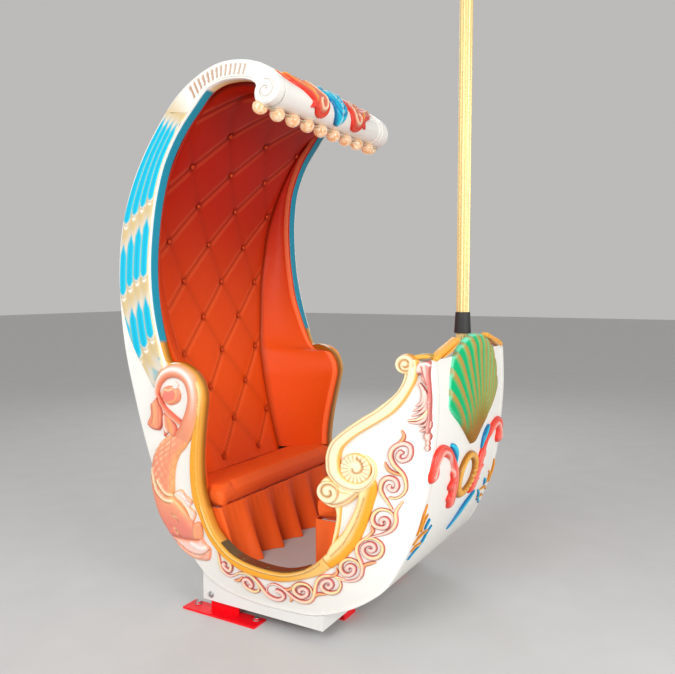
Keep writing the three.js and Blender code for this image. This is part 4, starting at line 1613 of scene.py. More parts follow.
@dataclass
class Cushions:
    """The two bench cushions, blown up by a cloth simulation inside a cap."""

    voxel: float = 0.007
    pressure: float = 4.0
    frames: int = 20
    cap: float = 0.016
    stiffness: float = 25.0
    shrink: float = 6.0
    end_gap: float = 4.0

    def block(self, name: str, profile: Pairs) -> bpy.types.Object:
        """Starting shape of a cushion: its profile, a little small, between the side panels.

        Args:
            name: Name of the piece.
            profile: Its outline in length and height.

        Returns:
            The piece.
        """
        middle = np.mean(profile, axis=0)
        points = np.asarray(profile, float)
        size = np.ptp(points, axis=0)
        points = middle + (points - middle) * (1 - 2 * self.shrink / size)
        ring = resampled(np.vstack([points, points[:1]]), 8)[:-1]
        rows = []
        for part in np.linspace(-1, 1, 90):
            draw = 1 - 0.16 * smoothstep(abs(part), 0.965, 1.0)
            flat = middle + (ring - middle) * draw
            rows.append(np.stack([flat[:, 0], part * (inner_width(*flat.T) - self.end_gap), flat[:, 1]], 1))
        draft = Draft()
        draft.grid(np.array(rows), np.array(CUSHION_RED))
        return draft.build(name, LEATHER)

    def inflate(self, piece: bpy.types.Object) -> None:
        """Blows the piece up with the cloth solver and keeps how far each point may move.

        Args:
            piece: The cushion's starting shape, which takes the result.
        """
        remesh = piece.modifiers.new("even", "REMESH")
        remesh.mode, remesh.voxel_size = "VOXEL", self.voxel
        graph = bpy.context.evaluated_depsgraph_get()
        mesh = bpy.data.meshes.new_from_object(piece.evaluated_get(graph), depsgraph=graph)
        piece.modifiers.clear()
        piece.data = mesh
        start = np.empty(3 * len(mesh.vertices), np.float32)
        mesh.vertices.foreach_get("co", start)
        cloth = piece.modifiers.new("swell", "CLOTH")
        cloth.settings.use_pressure = True
        cloth.settings.uniform_pressure_force = self.pressure
        cloth.settings.effector_weights.gravity = 0
        cloth.settings.tension_stiffness = cloth.settings.compression_stiffness = self.stiffness
        scene = bpy.context.scene
        for number in range(1, self.frames + 1):
            scene.frame_set(number)
        graph = bpy.context.evaluated_depsgraph_get()
        swollen = bpy.data.meshes.new_from_object(piece.evaluated_get(graph), depsgraph=graph)
        piece.modifiers.clear()
        scene.frame_set(1)
        moved = np.empty_like(start)
        swollen.vertices.foreach_get("co", moved)
        step = (moved - start).reshape(-1, 3)
        reach = np.linalg.norm(step, axis=1, keepdims=True)
        step *= np.minimum(1, self.cap / np.maximum(reach, 1e-9))
        mesh.vertices.foreach_set("co", (start.reshape(-1, 3) + step).ravel())
        bpy.data.meshes.remove(swollen)
        if "tint" in mesh.attributes:
            mesh.attributes.remove(mesh.attributes["tint"])
        paint_points(mesh, np.array(CUSHION_RED))
        mesh.materials.clear()
        mesh.materials.append(LEATHER.material())
        mesh.shade_smooth()
        smooth = piece.modifiers.new("smooth", "SUBSURF")
        smooth.levels = smooth.render_levels = 1

    def build(self) -> None:
        """Makes both cushions."""
        rear = ((-452, 425), (-214, 425), (-207, 462), (-212, 490), (-232, 502), (-456, 503))
        front = ((205, 451), (490, 451), (494, 533), (224, 534), (204, 524), (198, 490))
        for name, node, profile in (("rear_cushion_stuffed", "rear_cushion", rear),
                                    ("front_cushion_stuffed", "front_cushion", front)):
            piece = self.block(name, profile)
            self.inflate(piece)
            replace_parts(piece, node)


@dataclass
class Skirts:
    """Leather curtains that hang from the two bench boards to the floor."""

    thickness: float = 3.0
    wrap: float = 95.0
    corner: float = 14.0

    def hang(self, name: str, node: str, top: tuple[float, float], foot: tuple[float, float], folds: int,
             swing: float) -> None:
        """Makes one curtain.

        Args:
            name: Name of the piece.
            node: CAD node that it stands for.
            top: Length and height of its upper edge.
            foot: Length and height of its hem.
            folds: Number of folds across half of it.
            swing: How far the hem swings to each side.
        """
        down, share = np.linspace(0, 1, 26), np.linspace(-1, 1, 300)
        level, part = np.meshgrid(down, share)
        out = 1 if foot[0] < 0 else -1
        x = top[0] + (foot[0] - top[0]) * level
        z = top[1] + (foot[1] - top[1]) * level
        width = inner_width(x, z) - 1.5
        run = np.abs(part) * (width + self.wrap) - width + self.corner
        turn = np.clip(run / (np.pi / 2 * self.corner), 0, 1) * np.pi / 2
        past = np.maximum(run - np.pi / 2 * self.corner, 0)
        wave = np.cos(folds * np.pi * part) + 0.3 * np.cos((folds * 1.7 + 2) * np.pi * part + 1.3)
        gather = 0.8 * np.cos(5 * folds * np.pi * part) * (1 - level) ** 4
        ahead = swing * (0.1 + 0.9 * level**1.2) * wave / 1.2 + gather
        x = x + out * (ahead * np.cos(turn) - self.corner * (1 - np.cos(turn)) - past)
        y = width - self.corner + np.minimum(run, 0) + self.corner * np.sin(turn)
        y = np.sign(-part) * (y - (4 + 3.5 * wave + gather) * np.sin(turn) * level**0.3)
        front = np.stack([x, y, z], 2)
        inward = np.stack([-out * np.cos(turn), np.sign(part) * np.sin(turn), 0 * turn], 2)
        rear = front + self.thickness * inward
        # painted shade on one side of each fold, stronger towards the hem
        fold_shade = smoothstep(-wave, -0.2, 1.2) * (0.25 + 0.75 * level)
        tint = np.array(CUSHION_RED) * (1 - 0.5 * fold_shade[..., None])
        draft = Draft()
        draft.grid(np.concatenate([front, rear[:, ::-1]], 1), np.concatenate([tint, tint[:, ::-1]], 1))
        piece = draft.build(name, LEATHER)
        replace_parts(piece, node)

    def build(self) -> None:
        """Makes both curtains."""
        self.hang("rear_skirt_leather", "rear_skirt", (-224, 432), (-158, 191), 7, 30)
        self.hang("front_skirt_leather", "front_skirt", (209, 459), (196, 191), 8, 10)


@dataclass
class Cabin:
    """Floor, bench boards and tread plates."""

    board_gap: float = 26.0

    def build(self, studs: Pattern) -> None:
        """Dresses the CAD solids and adds the screws of the tread plates.

        Args:
            studs: Pattern that repeats a shape on points.
        """
        for node, finish in (("cabin_floor", FLOOR_VINYL), ("threshold_plate_right", BRONZE),
                             ("threshold_plate_left", BRONZE)):
            dress(node, finish)
        boards = Finish("painted_board", Slot.WHITE, (0.82, 0.80, 0.76), 0.35, constants=LACQUER)
        dress("prow_cap", boards)
        for node, profile in (
            ("rear_seat_base", ((-237, 191), (-227, 191), (-227, 419), (-428, 419), (-428, 402), (-237, 402))),
            ("front_seat_base", ((217, 191), (227, 191), (227, 428), (560, 428), (560, 445), (217, 445))),
        ):
            ring = np.array(profile, float)
            half = inner_width(*ring.T) - self.board_gap
            rows = [np.stack([ring[:, 0], part * half, ring[:, 1]], 1) for part in (-1, 1)]
            draft = Draft()
            draft.grid(np.array(rows), Tint.WHITE.linear)
            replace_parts(draft.build(f"{node}_board", CARVED_WHITE), node)
        sill = Spline((ARM_RIM[-1], *SILL_RIM)).even(4)
        screw = turned_shape("tread_screw", ((0, -2), (6, -2), (6.2, 0), (5, 1.6), (2.4, 2.2), (2.2, 1.2), (0, 1.2)),
                             12)
        for side, name in SIDES:
            spots = []
            for x in (-92, 22, 126):
                z = sill[np.abs(sill[:, 0] - x).argmin(), 1] + 4
                spots.append((x, side * (float(half_width(x, z)) - 16), z))
            studs.grow(f"tread_screws_{name}", seed_mesh(spots, [(0, 0, 1)] * 3), BRONZE, Shape=screw, Spin=3.0)


def dress(node: str, finish: Finish) -> None:
    """Gives a CAD node its finish.

    Args:
        node: Name of the node.
        finish: Finish that it takes.
    """
    piece = bpy.data.objects[node]
    for slot in piece.material_slots:
        slot.material = finish.material()


@dataclass
class Underframe:
    """White frame under the hull and the red steel angles that hold it on the deck."""

    face: float = 463.2

    def build(self, studs: Pattern) -> None:
        """Dresses the frame and brackets, and bolts them down.

        Args:
            studs: Pattern that repeats a shape on points.
        """
        dress("base_frame", Finish("frame_white_paint", Slot.WHITE, (0.86, 0.85, 0.83), 0.4, wear=0.12,
                                   constants=LACQUER))
        bolt = turned_shape("deck_bolt", ((0, 0), (17, 0), (17, 2), (12.4, 2.2), (12.4, 9.5), (11, 10.4), (0, 10.6)), 6)
        for side, name in SIDES:
            for place in ("rear", "front"):
                dress(f"{place}_bracket_{name}", RED_PAINT)
            spots = [(-354, side * 437, 8), (-58, side * 437, 8), (176, side * 215, 8)]
            studs.grow(f"deck_bolts_{name}", seed_mesh(spots, [(0, 0, 1)] * 3), BOLT_STEEL, Shape=bolt, Spin=1.0)
            studs.grow(f"frame_bolt_{name}", seed_mesh([(-264, side * self.face, 75)], [(0, side, 0)]), BOLT_STEEL,
                       Shape=bolt, Spin=1.0, Size=0.8)


@dataclass
class Pole:
    """Fluted pole in a red socket, with a rubber sleeve."""

    radius: float = 0.025
    flutes: int = 12
    foot: float = 790.0
    top: float = 2680.0

    def fluted(self) -> Pattern:
        """Pattern of a straight pole with round flutes.

        Returns:
            A pattern with the inputs Radius, Flutes and Depth.
        """
        pattern = Pattern("fluted_pole", {"Radius": self.radius, "Flutes": self.flutes, "Depth": 0.0032})
        graph = pattern.graph
        line = graph.wire("GeometryNodeMeshToCurve", None, {0: pattern.socket("Geometry")})
        ring = graph.wire("GeometryNodeCurvePrimitiveCircle", None,
                          {"Resolution": 144, "Radius": pattern.socket("Radius")})
        share = graph.wire("GeometryNodeSplineParameter", output="Factor")
        turn = share * 6.2831853 * Wire(graph, pattern.socket("Flutes"))
        wave = graph.wire("ShaderNodeMath", {"operation": "COSINE"}, {0: turn})
        sunk = graph.wire("ShaderNodeMath", {"operation": "MAXIMUM"}, {0: 0.25 - wave, 1: 0.0})
        scale = 1 - sunk * Wire(graph, pattern.socket("Depth")) * (0.8 / self.radius)
        place = graph.wire("GeometryNodeInputPosition")
        inward = graph.wire("ShaderNodeVectorMath", {"operation": "SCALE"}, {0: place, "Scale": scale})
        ring = graph.wire("GeometryNodeSetPosition", None, {"Geometry": ring, "Position": inward})
        pattern.finish(graph.wire("GeometryNodeCurveToMesh", None,
                                  {"Curve": line, "Profile Curve": ring, "Fill Caps": True}))
        return pattern

    def build(self) -> None:
        """Makes the pole and the sleeve, and dresses the socket."""
        heights = np.linspace(self.foot + 0.5, self.top - 0.5, 24)
        seed = seed_mesh([(POLE_X, 0, z) for z in heights], tints=Tint.POLE_GILT, linked=True)
        pole = self.fluted().grow("pole_fluted", seed, POLE_PAINT)
        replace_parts(pole, "pole")
        profile = ((25.6, 1130), (32, 1131), (32.4, 1136), (31, 1154), (29.5, 1185), (28.4, 1208), (27.5, 1212),
                   (25.6, 1212))
        turn = np.linspace(0, 2 * np.pi, 48, endpoint=False)
        rings = [np.stack([POLE_X + radius * np.cos(turn), radius * np.sin(turn), np.full(48, z)], 1)
                 for radius, z in (*profile, profile[0])]
        draft = Draft()
        draft.grid(np.array(rings), Tint.WHITE.linear, caps=False)
        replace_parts(draft.build("pole_sleeve_rubber", RUBBER), "pole_sleeve")
        dress("pole_socket", RED_PAINT)


@dataclass(frozen=True)
class Chisel:
    """A line cut into a carving, or raised on it, with its own paint."""

    path: Pairs
    width: float = 4.0
    rise: float = -3.0
    tint: Tint = Tint.ROSE
    strength: float = 0.8


@dataclass(frozen=True)
class Scroll:
    """A carved stroke with a round section that may swell, taper and curl."""

    path: Pairs
    width: float = 7.5
    rise: float = 9.0
    edge: Tint = Tint.PINK
    crest: Tint = Tint.PALE_CREAM
    start: float = 1.0
    end: float = 0.3
    base: float = -3.0
    lift: float = 0.6
    far: tuple[Tint, Tint] | None = None

    def lay(self, draft: Draft, bed: Bed) -> None:
        """Adds the stroke to a draft.

        Args:
            draft: Where the body goes.
            bed: The surface that carries it.
        """
        pitch = max(1.6, 0.3 * self.width)
        path = Spline(self.path).even(pitch)
        place = np.linspace(0, 1, len(path))
        share = self.start + (1 - self.start) * smoothstep(place, 0, 0.4)
        share = share * (1 - (1 - self.end) * smoothstep(place, 0.5, 1))
        room = np.minimum(place, 1 - place) * pitch * (len(path) - 1)
        width = np.maximum(self.width * share * rounded(room + 0.3, 0.9 * self.width), 0.3)
        level = self.rise * (width / self.width) ** 0.7

        def height(along: Array, across: Array) -> Array:
            """Round section that follows the stroke's width.

            Args:
                along: Shares along the stroke.
                across: Shares across it.

            Returns:
                Height at each place.
            """
            return level[:, None] * dome(along, across) ** 0.8

        def paint(along: Array, across: Array, height: Array) -> Array:
            """Paint from the edge to the crest, and towards the far pair.

            Args:
                along: Shares along the stroke.
                across: Shares across it.
                height: Heights of the carving, not used.

            Returns:
                One colour for each place.
            """
            share = smoothstep(dome(along, across), 0.6, 0.99)
            edge, crest = self.far or (self.edge, self.crest)
            return mixed(mixed(self.edge, self.crest, share), mixed(edge, crest, share), smoothstep(along, 0.25, 0.75))

        band = stroke(path, width, height, paint, lift=self.lift)
        band.base = self.base
        band.lay(draft, bed)


def loop(points: Pairs, pitch: float = 4.0) -> Array:
    """Closed smooth outline through points."""
    return Spline((*points, points[0])).even(pitch)[:-1]


def shaded(edge: Tint, crest: Tint, reach: float) -> Field:
    """Paint that changes from the edge of a carving to its middle."""
    return lambda u, v, gap: mixed(edge, crest, smoothstep(gap, 0, reach))


def carved(outline: Array, swell: float, reach: float, ground: Field, lines: Sequence[Chisel] = (),
           holes: Sequence[Array] = (), spacing: float = 5.0, lift: float = 0.6,
           body: Field | None = None) -> Relief:
    """Relief with a rounded body and chiselled lines.

    Args:
        outline: Its closed edge.
        swell: Its height in the middle.
        reach: Distance from the edge over which it rises.
        ground: Paint by place and distance from the edge.
        lines: Lines cut into it or raised on it.
        holes: Edges of its openings.
        spacing: Distance between its points.
        lift: Gap behind it.
        body: Height that is added to the swell, by place and distance from the edge.

    Returns:
        The relief.
    """
    cuts = [(line, Spline(line.path).even(4.0)) for line in lines]

    def closeness(u: Array, v: Array) -> list[Array]:
        """How near each place is to each line."""
        places = np.stack([u, v], 1)
        return [np.exp(-((distance_to(places, path)[0] / line.width) ** 2)) for line, path in cuts]

    def height(u: Array, v: Array, gap: Array) -> Array:
        """Swell, body and lines together.

        Args:
            u: Lengths along the chariot.
            v: Heights.
            gap: Distances from the carving's edge.

        Returns:
            Height at each place.
        """
        level = swell * rounded(gap, reach)
        if body:
            level = level + body(u, v, gap)
        for (line, _), near in zip(cuts, closeness(u, v)):
            level = level + line.rise * near * smoothstep(gap, 0, 4)
        return level

    def paint(u: Array, v: Array, gap: Array, height: Array) -> Array:
        """Ground paint with the lines' own over it.

        Args:
            u: Lengths along the chariot.
            v: Heights.
            gap: Distances from the carving's edge.
            height: Heights of the carving, not used.

        Returns:
            One colour for each place.
        """
        colours = ground(u, v, gap)
        for (line, _), near in zip(cuts, closeness(u, v)):
            colours = mixed(colours, line.tint, line.strength * near)
        return colours

    rings = tuple(ring for ring in (1.0, 3.0, 6.0) if ring < 1.2 * reach)
    return Relief(outline, spacing, height, paint, holes=holes, rings=rings, lift=lift)


def volute(centre: tuple[float, float], size: float, rise: float, turns: float, start: float, eye: float,
           paint: tuple[Tint, Tint] = (Tint.GOLD, Tint.PALE_CREAM), groove: Tint = Tint.DEEP_GOLD,
           flutes: int = 0) -> Relief:
    """A round scroll end, cut by a spiral and by flutes round its eye.

    Args:
        centre: Its middle.
        size: Its radius.
        rise: Its height.
        turns: Turns of its spiral, positive against the clock.
        start: Angle in degrees at which the spiral leaves the edge.
        eye: Radius of its eye.
        paint: Tints of its edge and its face.
        groove: Tint of the spiral.
        flutes: Number of flutes round the eye.

    Returns:
        The scroll end.
    """
    turn = np.linspace(0, 2 * np.pi, max(24, int(size)), endpoint=False)
    edge = np.stack([centre[0] + size * np.cos(turn), centre[1] + size * np.sin(turn)], 1)
    path = spiral(centre, (2.0 * eye if flutes else size, 0.4 * eye if flutes else eye), start, turns, 4)

    def body(u: Array, v: Array, gap: Array) -> Array:
        """Boss of the eye, with the flutes round it.

        Args:
            u: Lengths along the chariot.
            v: Heights.
            gap: Distances from the carving's edge, not used.

        Returns:
            Height at each place.
        """
        reach = np.hypot(u - centre[0], v - centre[1])
        boss = 5 * rounded(np.maximum(eye - reach, 0), eye)
        ring = smoothstep(reach, eye + 3, eye + 8) * smoothstep(reach, size - 1, size - 8)
        wave = np.cos(flutes * np.arctan2(v - centre[1], u - centre[0]))
        return boss - 4 * ring * smoothstep(wave, 0.0, 1.0) * (flutes > 0)

    def face(u: Array, v: Array, gap: Array) -> Array:
        """Paint of the face, darker in the flutes."""
        return mixed(shaded(*paint, 7)(u, v, gap), groove, np.clip(-0.1 * body(u, v, gap), 0, 0.4))

    return carved(edge, rise, 9, face, [Chisel(tuple(map(tuple, path)), 4.6, -5 if flutes else -9, groove, 0.8)],
                  body=body, spacing=3.6)


Carving = Relief | Ribbon | Scroll


def carve(node: str, finish: Finish, *laid: tuple[Sequence[Carving], Bed]) -> None:
    """Makes one carving out of its parts, in place of its CAD node.

    Args:
        node: Name of the CAD node.
        finish: Paint of the carving.
        laid: Its reliefs and strokes, with the surface that carries them.
    """
    draft = Draft()
    for pieces, bed in laid:
        for piece in pieces:
            piece.lay(draft, bed)
    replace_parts(draft.build(f"{node}_carved", finish), node)


def carve_sides(node: str, finish: Finish, pieces: Sequence[Carving]) -> None:
    """Makes a carving on the right side and its mirror image on the left."""
    for side, name in SIDES:
        carve(f"{node}_{name}", finish, (pieces, SideBed(side)))


@dataclass
class ArmCarp:
    """A carp on each arm, head down, with its tail curled into a loop."""

    tail_outer: Pairs = (
        (-352, 664), (-292, 717), (-258, 787), (-239, 859), (-237, 917), (-254, 969), (-299, 1003), (-358, 1010),
        (-414, 988),
        (-449, 944), (-462, 896), (-455, 872),
    )
    tail_inner: Pairs = (
        (-412, 706), (-352, 757), (-314, 816), (-294, 867), (-294, 904), (-305, 933), (-327, 950), (-362, 956),
        (-396, 947),
        (-422, 927), (-437, 902), (-440, 872),
    )
    trunk: Pairs = (
        (-292, 717), (-323, 679), (-354, 650), (-381, 603), (-395, 549), (-401, 496), (-409, 470), (-374, 443),
        (-350, 420), (-326, 392), (-316, 370), (-298, 380), (-277, 377), (-271, 343), (-278, 309), (-310, 298),
        (-363, 291), (-433, 294), (-454, 318), (-481, 355), (-501, 395), (-517, 460), (-522, 514), (-516, 568),
        (-497, 628), (-469, 671), (-430, 712), (-400, 731), (-360, 752), (-325, 750),
    )
    axis: Pairs = ((-345, 760), (-385, 690), (-440, 620), (-458, 545), (-459, 480))

    def scales(self, u: Array, v: Array) -> tuple[Array, Array]:
        """Nearness to the grooves between scales, and to their bright edges.

        Args:
            u: Lengths along the chariot.
            v: Heights.

        Returns:
            The two nearnesses, from 0 to 1.
        """
        line = Spline(self.axis).even(4)
        off = u - np.interp(v, line[::-1, 1], line[::-1, 0])
        down, up = (off / 30 + v / 44) % 1, (off / 30 - v / 44) % 1
        fade = smoothstep(v, 470, 520) * smoothstep(v, 770, 690)
        groove = np.exp(-((np.minimum(np.abs(down - 0.5), np.abs(up - 0.5)) / 0.09) ** 2))
        bright = np.exp(-((np.abs(up - 0.62) / 0.08) ** 2)) * smoothstep(np.abs(down - 0.5), 0.08, 0.22)
        return groove * fade, bright * fade * smoothstep(off, 30, 0)

    def trunk_paint(self, u: Array, v: Array, gap: Array) -> Array:
        """Peach flanks, a coral back, cream glints on the scales and a rosy snout.

        Args:
            u: Lengths along the chariot.
            v: Heights.
            gap: Distances from the carving's edge.

        Returns:
            One colour for each place.
        """
        groove, bright = self.scales(u, v)
        colours = mixed(Tint.CORAL, Tint.PEACH, smoothstep(gap, 26, 4))
        colours = mixed(colours, Tint.PINK, 0.7 * smoothstep(v, 440, 340))
        colours = mixed(colours, Tint.PEACH, 0.5 * smoothstep(u, -330, -290) * smoothstep(v, 400, 330))
        colours = mixed(colours, Tint.PINK, 0.45 * smoothstep(u, -440, -520))
        return mixed(mixed(colours, Tint.DEEP_CORAL, 0.28 * groove), Tint.PALE_CREAM, 0.9 * bright)

    def parts(self) -> list[Carving]:
        """Everything that the carp is carved of.

        Returns:
            The carvings, in the order in which they are laid.
        """
        trunk = carved(
            loop(self.trunk), 16, 30, self.trunk_paint, [
                Chisel(((-500, 575), (-492, 531), (-481, 487), (-448, 456), (-409, 452)), 6, 5, Tint.PALE_CREAM, 0.9),
                Chisel(((-489, 540), (-474, 500), (-444, 470), (-410, 464)), 3.2, -5, Tint.OLIVE_GOLD, 0.5),
                Chisel(((-472, 530), (-457, 506), (-436, 484), (-412, 474)), 5, 5, Tint.PALE_CREAM, 0.9),
                Chisel(((-506, 560), (-503, 520), (-492, 480), (-456, 444), (-415, 440)), 3.2, -4, Tint.OLIVE_GOLD,
                       0.45),
                Chisel(((-414, 398), (-398, 390), (-381, 369)), 3.6, -4, Tint.OLIVE_GOLD, 0.7),
                Chisel(((-404, 392), (-386, 386)), 3.0, 3, Tint.CREAM, 0.7),
                Chisel(((-408, 345), (-400, 338), (-388, 322)), 5, -3, Tint.CREAM, 0.8),
                Chisel(((-400, 334), (-388, 320), (-374, 309)), 2.6, -4, Tint.BRASS, 0.75),
                Chisel(((-428, 350), (-416, 343), (-404, 345)), 4, -2, Tint.DEEP_CORAL, 0.7),
                Chisel(((-440, 300), (-400, 304), (-350, 303), (-282, 307)), 4, -5, Tint.DEEP_CORAL, 0.75),
                Chisel(((-296, 372), (-298, 340), (-298, 315)), 7, 4, Tint.PEACH, 0.6),
            ], spacing=4.6,
            body=lambda u, v, gap: 7 * smoothstep(v, 700, 600) * rounded(gap, 45) - 10 * smoothstep(v, 670, 735)
            - 1.6 * self.scales(u, v)[0],
        )
        tail = Ribbon(
            Spline(self.tail_outer).at(np.linspace(0, 11, 130)), Spline(self.tail_inner).at(np.linspace(0, 11, 130)),
            lambda place, share: 21 * dome(place, share) ** 0.7 * (1 - 0.25 * place) * smoothstep(place, -0.03, 0.16),
            # painted highlight: a white band along the tail loop
            lambda place, share, height: mixed(
                mixed(mixed(Tint.CORAL, Tint.WHITE, np.exp(-(((share - 0.36) / 0.17) ** 2)) * smoothstep(
                    place, 0.12, 0.5)), Tint.DEEP_CORAL, 0.55 * smoothstep(share, 0.62, 1)),
                Tint.PEACH, 0.8 * smoothstep(share, 0.16, 0)), 15)
        cross = Ribbon(
            resampled(Spline(((-450, 893), (-438, 847), (-408, 807), (-367, 777), (-340, 765))).even(4), 0, 40),
            resampled(Spline(((-438, 889), (-411, 841), (-369, 811), (-322, 783))).even(4), 0, 40),
            lambda place, share: 15 * dome(place, share) ** 0.7,
            lambda place, share, height: mixed(mixed(Tint.CORAL, Tint.DEEP_CORAL, smoothstep(share, 0.5, 0.8)),
                                               Tint.WHITE, smoothstep(share, 0.42, 0.1)))
        ball = carved(loop(((-434, 890), (-410, 916), (-381, 923), (-345, 916), (-329, 894), (-335, 868), (-354, 854),
                            (-380, 845), (-402, 848), (-424, 866)), 3), 16, 30,
                            shaded(Tint.CORAL, Tint.BLUSH_CORAL, 18), [
            Chisel(((-416, 862), (-390, 856), (-356, 866), (-343, 890), (-352, 908)), 4, 3, Tint.PEACH, 0.9),
            Chisel(((-424, 880), (-404, 906), (-382, 905), (-366, 912)), 4, 3, Tint.CREAM, 0.8),
        ], spacing=4)
        fluke = carved(loop(((-455, 876), (-478, 852), (-492, 838), (-494, 799), (-515, 763), (-501, 742), (-467, 735),
                             (-444, 745), (-430, 788), (-436, 830))), 14, 16, shaded(Tint.DEEP_CORAL, Tint.CORAL, 12), [
            Chisel(((-466, 846), (-464, 800), (-474, 762)), 5, 4, Tint.PEACH, 0.9),
            Chisel(((-480, 830), (-481, 790), (-494, 758)), 3, -3, Tint.DEEP_CORAL, 0.6),
            Chisel(((-446, 838), (-446, 795), (-452, 755)), 3, -3, Tint.DEEP_CORAL, 0.6),
            Chisel(((-512, 758), (-470, 741), (-442, 752)), 4, 1, Tint.ROSE, 0.6),
        ], spacing=4)
        leaf = carved(loop(((-425, 812), (-431, 753), (-430, 712), (-415, 724), (-400, 731), (-376, 716), (-360, 752),
                            (-380, 786), (-407, 809)), 3), 12, 13, shaded(Tint.DEEP_CORAL, Tint.CORAL, 13), [
            Chisel(((-421, 800), (-420, 760), (-408, 734)), 5, 4, Tint.WHITE, 0.8),
            Chisel(((-396, 792), (-388, 766), (-386, 738), (-392, 726)), 5, 3, Tint.GOLD, 0.6),
        ], spacing=4)
        gill_fin = carved(loop(((-409, 483), (-367, 503), (-343, 483), (-311, 460), (-326, 436), (-299, 414),
                                (-319, 374), (-337, 405), (-356, 436), (-385, 458)), 3), 9, 14,
                          shaded(Tint.PEACH, Tint.BLUSH, 8), [
            Chisel(((-395, 478), (-362, 458), (-336, 425), (-322, 392)), 5, 4, Tint.PALE_CREAM, 0.9),
            Chisel(((-384, 488), (-348, 470), (-322, 440)), 4, 3, Tint.WHITE, 0.8),
            Chisel(((-350, 492), (-335, 462), (-312, 455)), 3, -3, Tint.PINK, 0.6),
        ], spacing=4)
        maw = carved(loop(((-445, 300), (-363, 297), (-310, 302), (-281, 314), (-258, 292), (-239, 277), (-243, 240),
                           (-256, 224), (-285, 218), (-332, 219), (-378, 239), (-410, 266)), 4), 12, 18,
                     shaded(Tint.CORAL, Tint.BLUSH, 20), [
            Chisel(((-418, 284), (-391, 268), (-349, 247), (-306, 241), (-272, 250), (-243, 272)), 3.4, -6, Tint.BRASS,
                   0.6),
            Chisel(((-405, 272), (-375, 251), (-332, 233), (-292, 231), (-256, 252)), 6, 4, Tint.CORAL, 0.9),
            Chisel(((-400, 262), (-372, 241), (-332, 224), (-285, 223)), 2.4, -2, Tint.PALE_CREAM, 0.9),
            Chisel(((-330, 285), (-290, 272), (-262, 278)), 9, 3, Tint.WHITE, 0.8),
        ], spacing=4)
        swirl = Scroll(((-357, 944), (-344, 932), (-350, 918), (-376, 915), (-402, 920)), 7, 9, Tint.BLUSH, Tint.WHITE,
                       0.3, 0.5)
        return [maw, trunk, tail, cross, ball, fluke, leaf, gill_fin, swirl]

    def build(self) -> None:
        """Carves both carps."""
        carve_sides("arm_carp", CORAL_PAINT, self.parts())


@dataclass
class RimMoulding:
    """Gold band along the arm and the sill, with a cream bead."""

    outer: Pairs = (
        (-340, 1004), (-300, 996), (-262, 963), (-246, 917), (-249, 880), (-259, 800), (-289, 717), (-307, 630),
        (-313, 543), (-307, 466), (-282, 400), (-252, 332), (-216, 287), (-177, 256), (-100, 217), (-3, 204), (89, 208),
        (161, 227), (247, 261), (299, 300),
    )

    def build(self) -> None:
        """Carves both bands."""
        arm = Spline(ARM_RIM[1:]).even(5)
        sill = Spline((ARM_RIM[-1], *SILL_RIM)).even(5)
        inner = np.vstack([arm, sill[1:-1]])
        normal = leftward(np.gradient(inner, axis=0))
        edge = np.vstack([Spline(self.outer).even(5), (inner - 1.5 * normal)[::-1]])

        def paint(u: Array, v: Array, gap: Array) -> Array:
            """Gold that turns amber inwards and cream at the ends.

            Args:
                u: Lengths along the chariot.
                v: Heights.
                gap: Distances from the carving's edge.

            Returns:
                One colour for each place.
            """
            colours = mixed(Tint.GOLD, Tint.AMBER, smoothstep(gap, 2, 12) * smoothstep(v, 900, 700))
            colours = mixed(colours, Tint.CREAM, 0.55 * smoothstep(v, 760, 960))
            return mixed(colours, Tint.CREAM, 0.35 * smoothstep(u, 60, 240) * smoothstep(v, 420, 300))

        def line(start: int, end: int, off: float, width: float, rise: float, tint: Tint) -> Chisel:
            """Line along the opening at a distance from it."""
            path = (inner - off * normal)[start:end:6]
            return Chisel(tuple(map(tuple, path)), width, rise, tint, 0.7)

        whole, low = len(inner), len(arm) - 12
        lines = [line(low, whole, 8, 2.2, 2, Tint.CREAM), line(low, whole, 13, 2.2, -3, Tint.OLIVE_GOLD),
                 line(0, 60, 6, 1.8, 2, Tint.CREAM), line(0, whole, 10.5, 1.8, -2.5, Tint.OLIVE_GOLD),
                 line(6, 60, 15, 1.8, 2, Tint.PALE_CREAM)]
        carve_sides("rim_moulding", GOLD_PAINT, [carved(edge, 11, 9, paint, lines)])


